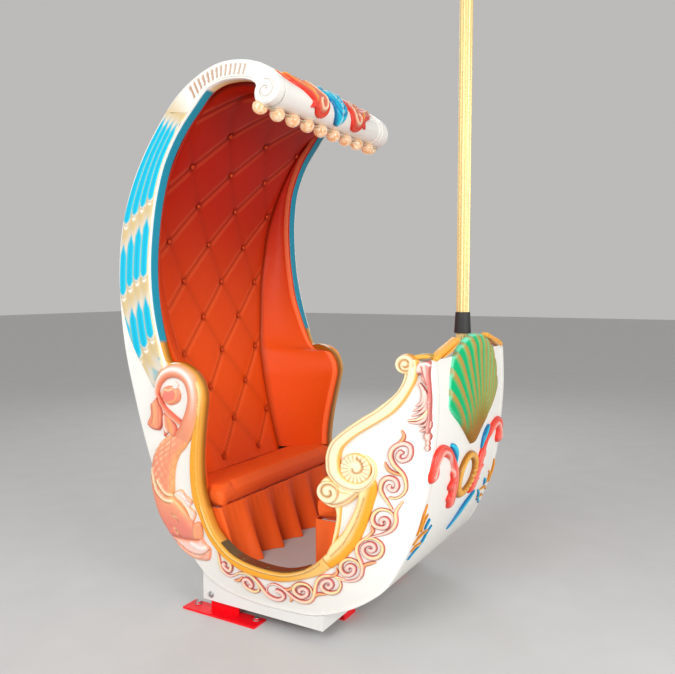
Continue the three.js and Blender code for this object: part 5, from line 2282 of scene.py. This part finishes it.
@dataclass
class FrontMoulding:
    """Cream scrolls up the front edge: an S between two volutes, a stem, and a small volute."""

    outer: Pairs = (
        (576, 1060), (570, 1015), (560, 981), (539, 947), (506, 917), (469, 887), (425, 858), (380, 825), (345, 796),
        (317, 766), (300, 725), (297, 689), (301, 655), (326, 621), (361, 600), (400, 594), (435, 603), (465, 637),
        (474, 683), (452, 720), (403, 732),
    )
    inner: Pairs = (
        (610, 1064), (612, 1027), (606, 995), (596, 971), (569, 922), (533, 880), (483, 844), (431, 811), (393, 782),
        (361, 749), (349, 713), (348, 685), (352, 662), (364, 646), (381, 635), (401, 631), (425, 635), (448, 650),
        (460, 675), (444, 706), (403, 717),
    )

    def sweep(self) -> Ribbon:
        """The band that comes down from the top volute and winds round the big one.

        Returns:
            The band.
        """
        steps = np.linspace(0, len(self.outer) - 1, 190)

        def height(place: Array, share: Array) -> Array:
            """Round band with two grooves.

            Args:
                place: Shares along the band.
                share: Shares across the band.

            Returns:
                Height at each place.
            """
            cuts = 5 * np.exp(-(((share - 0.27) / 0.08) ** 2)) + 3.5 * np.exp(-(((share - 0.74) / 0.07) ** 2))
            return (26 * dome(place, share) ** 0.5 - cuts) * (1 - 0.8 * smoothstep(place, 0.82, 1))

        def paint(place: Array, share: Array, height: Array) -> Array:
            """Cream with a gold edge and groove.

            Args:
                place: Shares along the band.
                share: Shares across the band.
                height: Heights of the carving, not used.

            Returns:
                One colour for each place.
            """
            colours = mixed(Tint.CREAM, Tint.PALE_CREAM, smoothstep(dome(place, share), 0.4, 0.9))
            colours = mixed(colours, Tint.GOLD, 0.9 * smoothstep(share, 0.8, 0.97))
            return mixed(colours, Tint.DEEP_GOLD, 0.6 * np.exp(-(((share - 0.27) / 0.06) ** 2)))

        return Ribbon(Spline(self.outer).at(steps), Spline(self.inner).at(steps), height, paint, 21)

    def build(self) -> None:
        """Carves the scrolls of both sides."""
        stem_edge = np.array(((300, 300), (353, 343), (403, 406), (439, 487), (459, 550), (474, 605)), float)

        def golden(u: Array, v: Array, gap: Array) -> Array:
            """Cream stem, gold at its edges and amber on its right."""
            right = distance_to(np.stack([u, v], 1), stem_edge)[0]
            return mixed(mixed(Tint.GOLD, Tint.CREAM, smoothstep(gap, 2, 8)), Tint.AMBER, smoothstep(right, 42, 16))

        stem = carved(loop(((282, 352), (303, 392), (345, 438), (378, 497), (402, 552), (410, 600), (440, 640),
                            (466, 640), (474, 605), (459, 550), (439, 487), (403, 406), (353, 343), (318, 312),
                            (296, 300), (268, 334))), 15, 12, golden,
                      [Chisel(((300, 345), (352, 402), (398, 485), (430, 575)), 3.4, -5, Tint.DEEP_GOLD, 0.6)])
        branch = carved(loop(((298, 372), (315, 443), (325, 500), (318, 545), (330, 556), (345, 548), (343, 500),
                              (333, 443), (316, 392))), 11, 8, shaded(Tint.GOLD, Tint.CREAM, 8),
                        [Chisel(((306, 388), (324, 443), (334, 500), (332, 545)), 3, 2, Tint.PALE_CREAM, 0.6)])
        cup = carved(loop(((263, 582), (272, 552), (298, 533), (327, 528), (368, 544), (399, 571), (421, 600),
                           (392, 602), (362, 606), (335, 622), (300, 640), (275, 622))), 20, 12,
                     shaded(Tint.GOLD, Tint.PALE_CREAM, 8),
                     [Chisel(((276, 566), (300, 547), (327, 541), (362, 556), (392, 580), (412, 600)), 5, -8,
                             Tint.DEEP_GOLD, 0.7),
                      Chisel(((330, 606), (352, 590), (380, 590)), 3, -3, Tint.GOLD, 0.6)])
        carve_sides("front_moulding", CREAM_PAINT, [
            stem, branch, cup, self.sweep(), volute((402, 676), 56, 17, -0.7, 80, 19, flutes=18),
            volute((575, 1048), 35, 30, -1.5, 75, 9), volute((307, 588), 43, 33, 1.25, 300, 12),
        ])


@dataclass
class Vine:
    """Vine of spirals that follows the gold band below the opening."""

    volutes: Sequence[Pairs] = (
        ((553, 738), (558, 746), (549, 740), (545, 725), (558, 715), (578, 723), (587, 742), (585, 765), (569, 775),
         (546, 770), (527, 754), (520, 731), (527, 706), (542, 688), (558, 672), (569, 649), (571, 618), (558, 595),
         (536, 582), (510, 583)),
        ((521, 627), (514, 619), (521, 610), (535, 612), (542, 629), (533, 648), (510, 652), (492, 638), (485, 612),
         (493, 590), (509, 565), (525, 540)),
        ((493, 486), (486, 491), (489, 503), (503, 505), (510, 494), (503, 478), (486, 472), (465, 477), (455, 494),
         (460, 518), (478, 535), (498, 538), (518, 532), (529, 516)),
        ((436, 390), (449, 384), (461, 393), (457, 407), (441, 409), (422, 397), (419, 378), (431, 363), (452, 358),
         (474, 366), (488, 386), (488, 408), (473, 424), (450, 430), (426, 420)),
        ((365, 300), (358, 308), (369, 319), (384, 315), (382, 297), (365, 283), (345, 285), (334, 302), (338, 324),
         (357, 340), (380, 342), (400, 331), (407, 310)),
        ((275, 229), (286, 222), (298, 236), (289, 249), (269, 243), (256, 224), (267, 207), (293, 203), (318, 213),
         (331, 234), (327, 256), (309, 267)),
        ((171, 180), (165, 190), (181, 200), (197, 194), (195, 179), (177, 166), (157, 169), (142, 183), (145, 200),
         (164, 215), (188, 218), (209, 209), (221, 185)),
        ((59, 169), (77, 167), (91, 161), (96, 149), (79, 135), (54, 133), (28, 141), (7, 159), (-14, 181), (-39, 200),
         (-62, 208), (-85, 208), (-110, 201), (-130, 187)),
        ((-63, 159), (-47, 164), (-53, 179), (-72, 186), (-87, 174), (-80, 156), (-58, 146), (-35, 143), (-16, 153),
         (-15, 172), (-32, 190)),
        ((-168, 221), (-176, 228), (-181, 221), (-170, 209), (-151, 204), (-142, 224), (-154, 243), (-174, 253),
         (-192, 262)),
    )
    stems: Sequence[Pairs] = (
        ((562, 575), (545, 550), (536, 529), (537, 505), (532, 484), (517, 465), (494, 451), (468, 441), (438, 430)),
        ((456, 458), (441, 438), (418, 419), (400, 400), (396, 377), (402, 355), (411, 335), (415, 317), (411, 292),
         (396, 272), (367, 260), (336, 259), (300, 266)),
        ((350, 263), (322, 267), (290, 268), (263, 261), (243, 244), (232, 217), (227, 190), (216, 165), (197, 150),
         (169, 146), (142, 153), (121, 166), (101, 178), (77, 189), (52, 192), (30, 181), (21, 162), (31, 140)),
        ((-212, 288), (-203, 264), (-199, 236), (-193, 210), (-177, 191), (-153, 182), (-126, 191), (-100, 205)),
    )
    leaves: Sequence[Pairs] = (
        ((556, 822), (565, 801), (556, 782), (537, 760), (524, 744)), ((500, 708), (512, 682), (536, 669), (560, 664)),
        ((448, 476), (456, 458), (447, 440)), ((466, 345), (443, 337), (424, 327), (413, 304)),
        ((316, 302), (319, 285), (306, 272), (280, 264)), ((276, 193), (246, 190), (229, 180), (211, 158)),
        ((136, 206), (132, 191), (118, 183), (96, 181)), ((120, 133), (131, 151), (121, 164), (103, 178)),
        ((-135, 167), (-109, 173), (-90, 192)),
    )

    def build(self) -> None:
        """Carves the vine of both sides."""
        strokes = [Scroll(path, 9.6, 10, Tint.ROSE, Tint.BLUSH, 1.0, 0.5,
                          far=(Tint.ROSE, Tint.CREAM)) for path in self.volutes]
        strokes += [Scroll(path, 8.6, 9, Tint.PINK, Tint.CREAM, 0.5, 0.4,
                           far=(Tint.ROSE, Tint.BLUSH)) for path in self.stems]
        strokes += [Scroll(path, 7.6, 8, Tint.ROSE, Tint.PEACH, 0.5, 0.6) for path in self.leaves]
        carve_sides("vine_scroll", CORAL_PAINT, strokes)


@dataclass
class CornerLeaf:
    """Hanging leaf down each front corner, with fronds to one side and a bud below."""

    fronds: Sequence[Pairs] = (
        ((612, 985), (626, 962), (628, 935), (618, 914), (600, 905)), ((618, 975), (634, 948), (632, 918), (616, 898),
         (592, 888)), ((626, 965), (640, 935), (637, 905), (618, 884), (588, 870)),
        ((634, 950), (646, 915), (639, 885), (612, 862), (575, 855)), ((644, 920), (644, 888), (632, 862), (608, 849),
         (578, 849)), ((649, 885), (645, 858), (634, 843), (612, 836)),
         ((650, 860), (647, 838), (634, 826), (614, 820)),
    )

    def build(self) -> None:
        """Carves the leaf of both sides."""
        head = carved(loop(((618, 1056), (604, 1046), (600, 1028), (608, 1012), (620, 1016), (619, 1000), (630, 982),
                            (640, 959), (638, 917), (641, 883), (640, 858), (633, 828), (638, 812), (648, 812),
                            (652, 845), (654, 885), (655, 930), (652, 975), (649, 1016), (651, 1054), (640, 1060)), 3),
                      20, 12, shaded(Tint.ROSE, Tint.BLUSH, 12), [
            Chisel(((624, 1040), (630, 1010), (640, 980)), 3.4, -5, Tint.ROSE, 0.9),
            Chisel(((640, 1045), (641, 1010), (646, 970), (648, 930)), 3.2, -5, Tint.PINK, 0.9),
            Chisel(((616, 1050), (636, 1052), (648, 1046)), 4, 3, Tint.WHITE, 0.9),
            *(Chisel(((637, z), (647, z + 3)), 2.2, -2, Tint.PINK, 0.8) for z in range(876, 966, 12)),
        ], spacing=3.6)
        strokes = [Scroll(path, 9.0, 11 + 1.5 * (i == 3), Tint.ROSE, Tint.PALE_CREAM if i == 3 else Tint.BLUSH, 0.7,
                          0.4)
                   for i, path in enumerate(self.fronds)]
        curl = Scroll(((617, 1028), (610, 1034), (611, 1043), (622, 1046)), 5, 8, Tint.PINK, Tint.WHITE, 1.0, 0.6)
        buds = [Scroll(((643, 820), (642, 800), (645, 786)), 14, 14, Tint.ROSE, Tint.BLUSH, 0.9, 0.8),
                Scroll(((643, 790), (643, 770)), 8, 10, Tint.ROSE, Tint.BLUSH, 0.8, 0.8),
                Scroll(((642, 774), (641, 752)), 10, 11, Tint.ROSE, Tint.BLUSH, 0.8, 0.9)]
        carve_sides("corner_leaf", CORAL_PAINT, [*strokes, head, curl, *buds])


@dataclass
class ProwCarvings:
    """The ribbed shell, the open cartouche, the sprays and the crests on the front."""

    shell: Pairs = (
        (0, 700), (40, 728), (85, 760), (150, 803), (262, 872), (270, 918), (262, 974), (243, 1022), (215, 1063),
        (160, 1094), (105, 1114), (50, 1128), (0, 1131),
    )
    ribs: int = 12
    spread: float = 54.0
    hook: Pairs = (
        (405, 646), (404, 680), (380, 738), (320, 758), (244, 737), (179, 684), (127, 623), (97, 520), (94, 478),
        (122, 470), (148, 484), (160, 505), (178, 520), (165, 545), (192, 565), (195, 580), (174, 596), (188, 622),
        (190, 646), (214, 676), (258, 700), (308, 710), (338, 692), (336, 660), (352, 640), (385, 634),
    )

    def scallop(self) -> Relief:
        """The shell, with green flutes between narrow ribs that spread from its foot.

        Returns:
            The shell.
        """
        edge = np.vstack([Spline(self.shell).even(6), (Spline(self.shell).even(6) * (-1, 1))[::-1][1:-1]])

        def ribbed(u: Array, v: Array) -> tuple[Array, Array]:
            """Share of a rib at each place, and the distance from the foot.

            Args:
                u: Lengths along the chariot.
                v: Heights.

            Returns:
                The shares and the distances.
            """
            angle = np.degrees(np.arctan2(u, v - 668))
            phase = np.abs(((angle + self.spread) / (2 * self.spread) * self.ribs) % 1 - 0.5) * 2
            return smoothstep(phase, 0.46, 0.80), np.hypot(u, v - 700)

        def body(u: Array, v: Array, gap: Array) -> Array:
            """Crowned shell with raised ribs.

            Args:
                u: Lengths along the chariot.
                v: Heights.
                gap: Distances from the carving's edge.

            Returns:
                Height at each place.
            """
            rib, reach = ribbed(u, v)
            crown = (0.7 * (1 - (u / 270) ** 2) + 0.3) * 30 * rounded(gap, 60)
            return crown + 9 * (rib - 0.6) * smoothstep(reach, 40, 200)

        def paint(u: Array, v: Array, gap: Array) -> Array:
            """Green flutes, golden ribs and a brass foot, with a painted highlight paling the flutes on the right.

            Args:
                u: Lengths along the chariot.
                v: Heights.
                gap: Distances from the carving's edge.

            Returns:
                One colour for each place.
            """
            rib, reach = ribbed(u, v)
            colours = mixed(Tint.GREEN, Tint.OLIVE_GOLD, rib)
            colours = mixed(colours, Tint.BRASS, 0.9 * smoothstep(reach, 210, 60))
            # painted highlight: the flutes pale towards the right
            colours = mixed(colours, Tint.PALE_GREEN,
                            0.6 * (1 - rib) * smoothstep(u, -20, 160) * smoothstep(reach, 120, 260))
            return mixed(colours, Tint.MINT, smoothstep(gap, 11, 5) * smoothstep(v, 800, 900) * (1 - 0.7 * rib))

        return carved(edge, 4, 4, paint, spacing=5.2, body=body)

    def ring(self) -> Relief:
        """The gold ring in the middle of the cartouche.

        Returns:
            The ring.
        """
        turn = np.linspace(0, 2 * np.pi, 60, endpoint=False)
        edge = np.stack([110 * np.cos(turn), 578 + 94 * np.sin(turn)], 1)
        hole = np.stack([70 * np.cos(turn), 580 + 60 * np.sin(turn)], 1)[::2]
        knots = [Chisel(((72 * math.cos(a), 578 + 60 * math.sin(a)),
                         (106 * math.cos(a + 0.2), 578 + 92 * math.sin(a + 0.2))),
                        3.4, -5, Tint.BRASS, 0.7) for a in np.linspace(-2.9, 0.3, 12)]
        return carved(edge, 19, 16, shaded(Tint.BRASS, Tint.GOLD, 11), knots, [hole])

    def shoulder(self) -> list[Carving]:
        """A coral scroll beside the ring, with a blue leaf behind it.

        Returns:
            The scroll and the leaf.
        """
        return [
            carved(loop(self.hook), 18, 20, shaded(Tint.RED_CORAL, Tint.BLUSH_CORAL, 19), [
                Chisel(((392, 660), (374, 712), (320, 743), (252, 724), (194, 674), (152, 606), (120, 520), (112, 484)),
                       3.6, -7, Tint.RED_CORAL, 1.0),
                Chisel(((372, 650), (350, 690), (312, 716), (266, 704), (222, 664), (190, 616), (166, 560), (150, 506)),
                       3.6, -7, Tint.RED_CORAL, 1.0),
                Chisel(((384, 655), (362, 700), (316, 730), (260, 714), (208, 669), (172, 612)), 4, 3, Tint.BLUSH, 0.8),
                Chisel(((218, 520), (186, 536), (150, 528)), 4, -4, Tint.RED_CORAL, 0.8),
                Chisel(((226, 578), (196, 588), (150, 582)), 4, -4, Tint.RED_CORAL, 0.8),
            ]),
            Scroll(((222, 738), (190, 722), (158, 690), (146, 652)), 16, 15, Tint.BLUE, Tint.CYAN, 0.6, 0.5),
        ]

    def sprays(self) -> list[Carving]:
        """Gold and blue sprays at the foot of a side.

        Returns:
            The sprays.
        """
        return [
            Scroll(((378, 560), (392, 520), (390, 484), (396, 448)), 7, 9, Tint.DEEP_GOLD, Tint.AMBER, 0.6, 0.7),
            Scroll(((340, 512), (362, 500), (372, 474), (360, 452)), 6.5, 8, Tint.DEEP_GOLD, Tint.AMBER, 0.5, 0.8),
            Scroll(((285, 436), (330, 437), (368, 432), (398, 412)), 6.5, 9, Tint.DEEP_GOLD, Tint.GOLD, 0.5, 0.7),
            Scroll(((308, 486), (326, 468), (330, 450)), 8, 9, Tint.BLUE, Tint.CYAN, 0.7, 0.8),
            Scroll(((258, 446), (290, 424), (312, 392), (352, 372), (384, 350)), 7.5, 9, Tint.BLUE, Tint.CYAN, 0.6,
                   0.6),
            Scroll(((292, 400), (328, 392), (362, 396), (392, 384)), 6, 8, Tint.DEEP_GOLD, Tint.GOLD, 0.5, 0.7),
        ]

    def build(self) -> None:
        """Carves the front."""
        strip = Scroll(((198, 459), (150, 436), (101, 414), (45, 371), (3, 343)), 19, 13, Tint.BLUE, Tint.CYAN, 0.7,
                       0.5)
        crest = [
            Scroll(((160, 1118), (255, 1094), (325, 1078), (376, 1062)), 11, 8, Tint.GOLD, Tint.AMBER, 0.9, 0.8, -20),
            Scroll(((182, 1106), (262, 1081), (325, 1064)), 7, 14, Tint.DEEP_GOLD, Tint.GOLD, 0.6, 0.5, -16),
        ]
        edge = Scroll(((592, 1070), (618, 1073), (645, 1074)), 9, 3, Tint.OLIVE_GOLD, Tint.GOLD, 0.9, 0.9, -40)
        carve("prow_scallop", GREEN_PAINT, ([self.scallop()], ProwBed()))
        shoulder = self.shoulder()
        carve("prow_cartouche", CORAL_PAINT, ([self.ring()], ProwBed()), (shoulder, ProwBed(-1)), (shoulder, ProwBed()))
        for side, name in SIDES:
            carve(f"prow_spray_{name}", GOLD_PAINT, (self.sprays(), ProwBed(side)), ([strip] * (side > 0), ProwBed()))
            carve(f"prow_crest_{name}", GOLD_PAINT, (crest, ProwBed(side)), ([edge], SideBed(side)))


@dataclass
class LipLeaves:
    """Painted crest on the hood's lip: a blue leaf between two coral lobes with strips to the ends."""

    def build(self) -> None:
        """Carves the crest."""
        lobe = [
            Scroll(((404, 12), (372, 26), (345, 44), (322, 60)), 9, 7, Tint.RED_CORAL, Tint.GOLD, 0.5, 0.9),
            carved(loop(((350, 26), (330, 56), (303, 82), (270, 100), (240, 114), (216, 128), (226, 152), (198, 150),
                         (176, 170), (146, 180), (116, 171), (97, 142), (90, 100), (96, 52), (112, 10), (200, 4),
                         (280, 6)),
                        4), 13, 16, shaded(Tint.RED_CORAL, Tint.DEEP_CORAL, 26), [
                Chisel(((344, 26), (300, 50), (256, 68), (214, 92), (186, 122)), 5, 5, Tint.GOLD, 0.9),
                Chisel(((320, 52), (270, 82), (226, 104), (196, 134)), 5, -5, Tint.RED_CORAL, 0.9),
                Chisel(((300, 18), (240, 30), (200, 54), (176, 84), (158, 96), (140, 92)), 5, -5, Tint.DEEP_CORAL, 0.9),
                Chisel(((178, 20), (146, 36), (122, 66), (116, 104), (130, 134), (156, 138), (168, 118), (152, 106)),
                       4.5, 6, Tint.PALE_CREAM, 0.95),
                Chisel(((206, 30), (186, 60), (172, 88)), 4, 4, Tint.GOLD, 0.8),
                Chisel(((186, 108), (184, 140), (158, 158), (124, 152), (106, 122)), 5, -5, Tint.RED_CORAL, 0.9),
            ], spacing=4.4),
        ]
        leaf = carved(loop(((0, 4), (60, 0), (96, 12), (90, 50), (60, 84), (48, 126), (20, 168), (-8, 184), (-30, 166),
                            (-50, 126), (-58, 84), (-88, 50), (-94, 12), (-60, 0)), 4), 18, 20,
                      shaded(Tint.BLUE, Tint.CYAN, 16), [
            Chisel(((0, 10), (0, 80), (-6, 170)), 4, 4, Tint.SHADE_WHITE, 0.7),
            *(Chisel(((side * 6, z), (side * 24, z - 8), (side * 40, z - 22)), 4.5, -6, Tint.BLUE, 0.95)
              for z in (70, 92, 114, 136) for side in (-1, 1)),
            *(Chisel(((side * 20, 14), (side * 46, 26), (side * 78, 34)), 7, -5, Tint.BLUE, 0.9) for side in (-1, 1)),
            *(Chisel(((side * 30, 12), (side * 56, 18), (side * 84, 20)), 3.4, 4, Tint.SHADE_WHITE,
                     0.8) for side in (-1, 1)),
        ], spacing=4)
        carve("hood_leaves", CORAL_PAINT, (lobe, RollBed(-1)), (lobe, RollBed()), ([leaf], RollBed()))


def light_and_camera() -> None:
    """Sets up the camera at the photograph's angle, soft studio light and a pale floor."""
    scene = bpy.context.scene
    scene.view_settings.view_transform = "Standard"
    lens = bpy.data.cameras.new("front_camera")
    lens.lens, lens.sensor_width = 37.33, 36.0
    camera = bpy.data.objects.new("front_camera", lens)
    camera.location = ((1537 - SHIFT) / 1000, -2.587, 1.30)
    camera.rotation_euler = (math.radians(90 - 3.92), 0, math.radians(29.8))
    scene.collection.objects.link(camera)
    scene.camera = camera
    for name, place, aim, size, power in (
        ("key", (0.6, -4.6, 3.4), (0.1, 0.0, 1.1), 2.4, 120),
        ("fill", (-3.2, -3.4, 2.0), (0.0, 0.0, 1.0), 3.2, 30),
        ("front", (3.9, -1.6, 1.9), (0.1, 0.0, 1.1), 2.6, 100),
        ("back", (-2.5, 3.8, 3.4), (0.0, 0.0, 1.0), 3.0, 40),
    ):
        lamp = bpy.data.lights.new(name, "AREA")
        lamp.shape, lamp.size, lamp.energy = "DISK", size, power
        body = bpy.data.objects.new(name, lamp)
        body.location = place
        body.rotation_euler = (Vector(aim) - Vector(place)).to_track_quat("-Z", "Y").to_euler()
        scene.collection.objects.link(body)
    world = bpy.data.worlds.new("studio")
    world.use_nodes = True
    background = world.node_tree.nodes["Background"]
    background.inputs["Color"].default_value = (1.0, 0.99, 0.97, 1.0)
    background.inputs["Strength"].default_value = 0.5
    scene.world = world
    mesh = bpy.data.meshes.new("studio_floor")
    mesh.from_pydata([(-30, -30, 0), (30, -30, 0), (30, 30, 0), (-30, 30, 0)], [], [(0, 1, 2, 3)])
    floor = bpy.data.objects.new("studio_floor", mesh)
    scene.collection.objects.link(floor)
    mesh.materials.append(Finish("floor_grey", Slot.WHITE, (0.62, 0.62, 0.62), 0.7).material())


def main() -> None:
    """Builds the chariot piece by piece."""
    logging.basicConfig(level=logging.INFO, format="%(name)s: %(message)s")
    light_and_camera()
    studs, cords = stud_pattern(), cord_pattern()
    steps: Sequence[tuple[str, Callable[[], None]]] = (
        ("side panels", SidePanels().build),
        ("hull", Hull().build),
        ("hood roll", HoodRoll().build),
        ("lamps", lambda: LampRow().build(studs)),
        ("hood bands", lambda: HoodBands().build(cords)),
        ("linings", lambda: Linings().build(studs)),
        ("cushions", Cushions().build),
        ("skirts", Skirts().build),
        ("cabin", lambda: Cabin().build(studs)),
        ("underframe", lambda: Underframe().build(studs)),
        ("pole", Pole().build),
        ("arm carps", ArmCarp().build),
        ("rim mouldings", RimMoulding().build),
        ("front mouldings", FrontMoulding().build),
        ("vines", Vine().build),
        ("corner leaves", CornerLeaf().build),
        ("prow carvings", ProwCarvings().build),
        ("lip leaves", LipLeaves().build),
    )
    for name, step in steps:
        step()
        LOG.info("built %s", name)


if __name__ == "__main__":
    main()
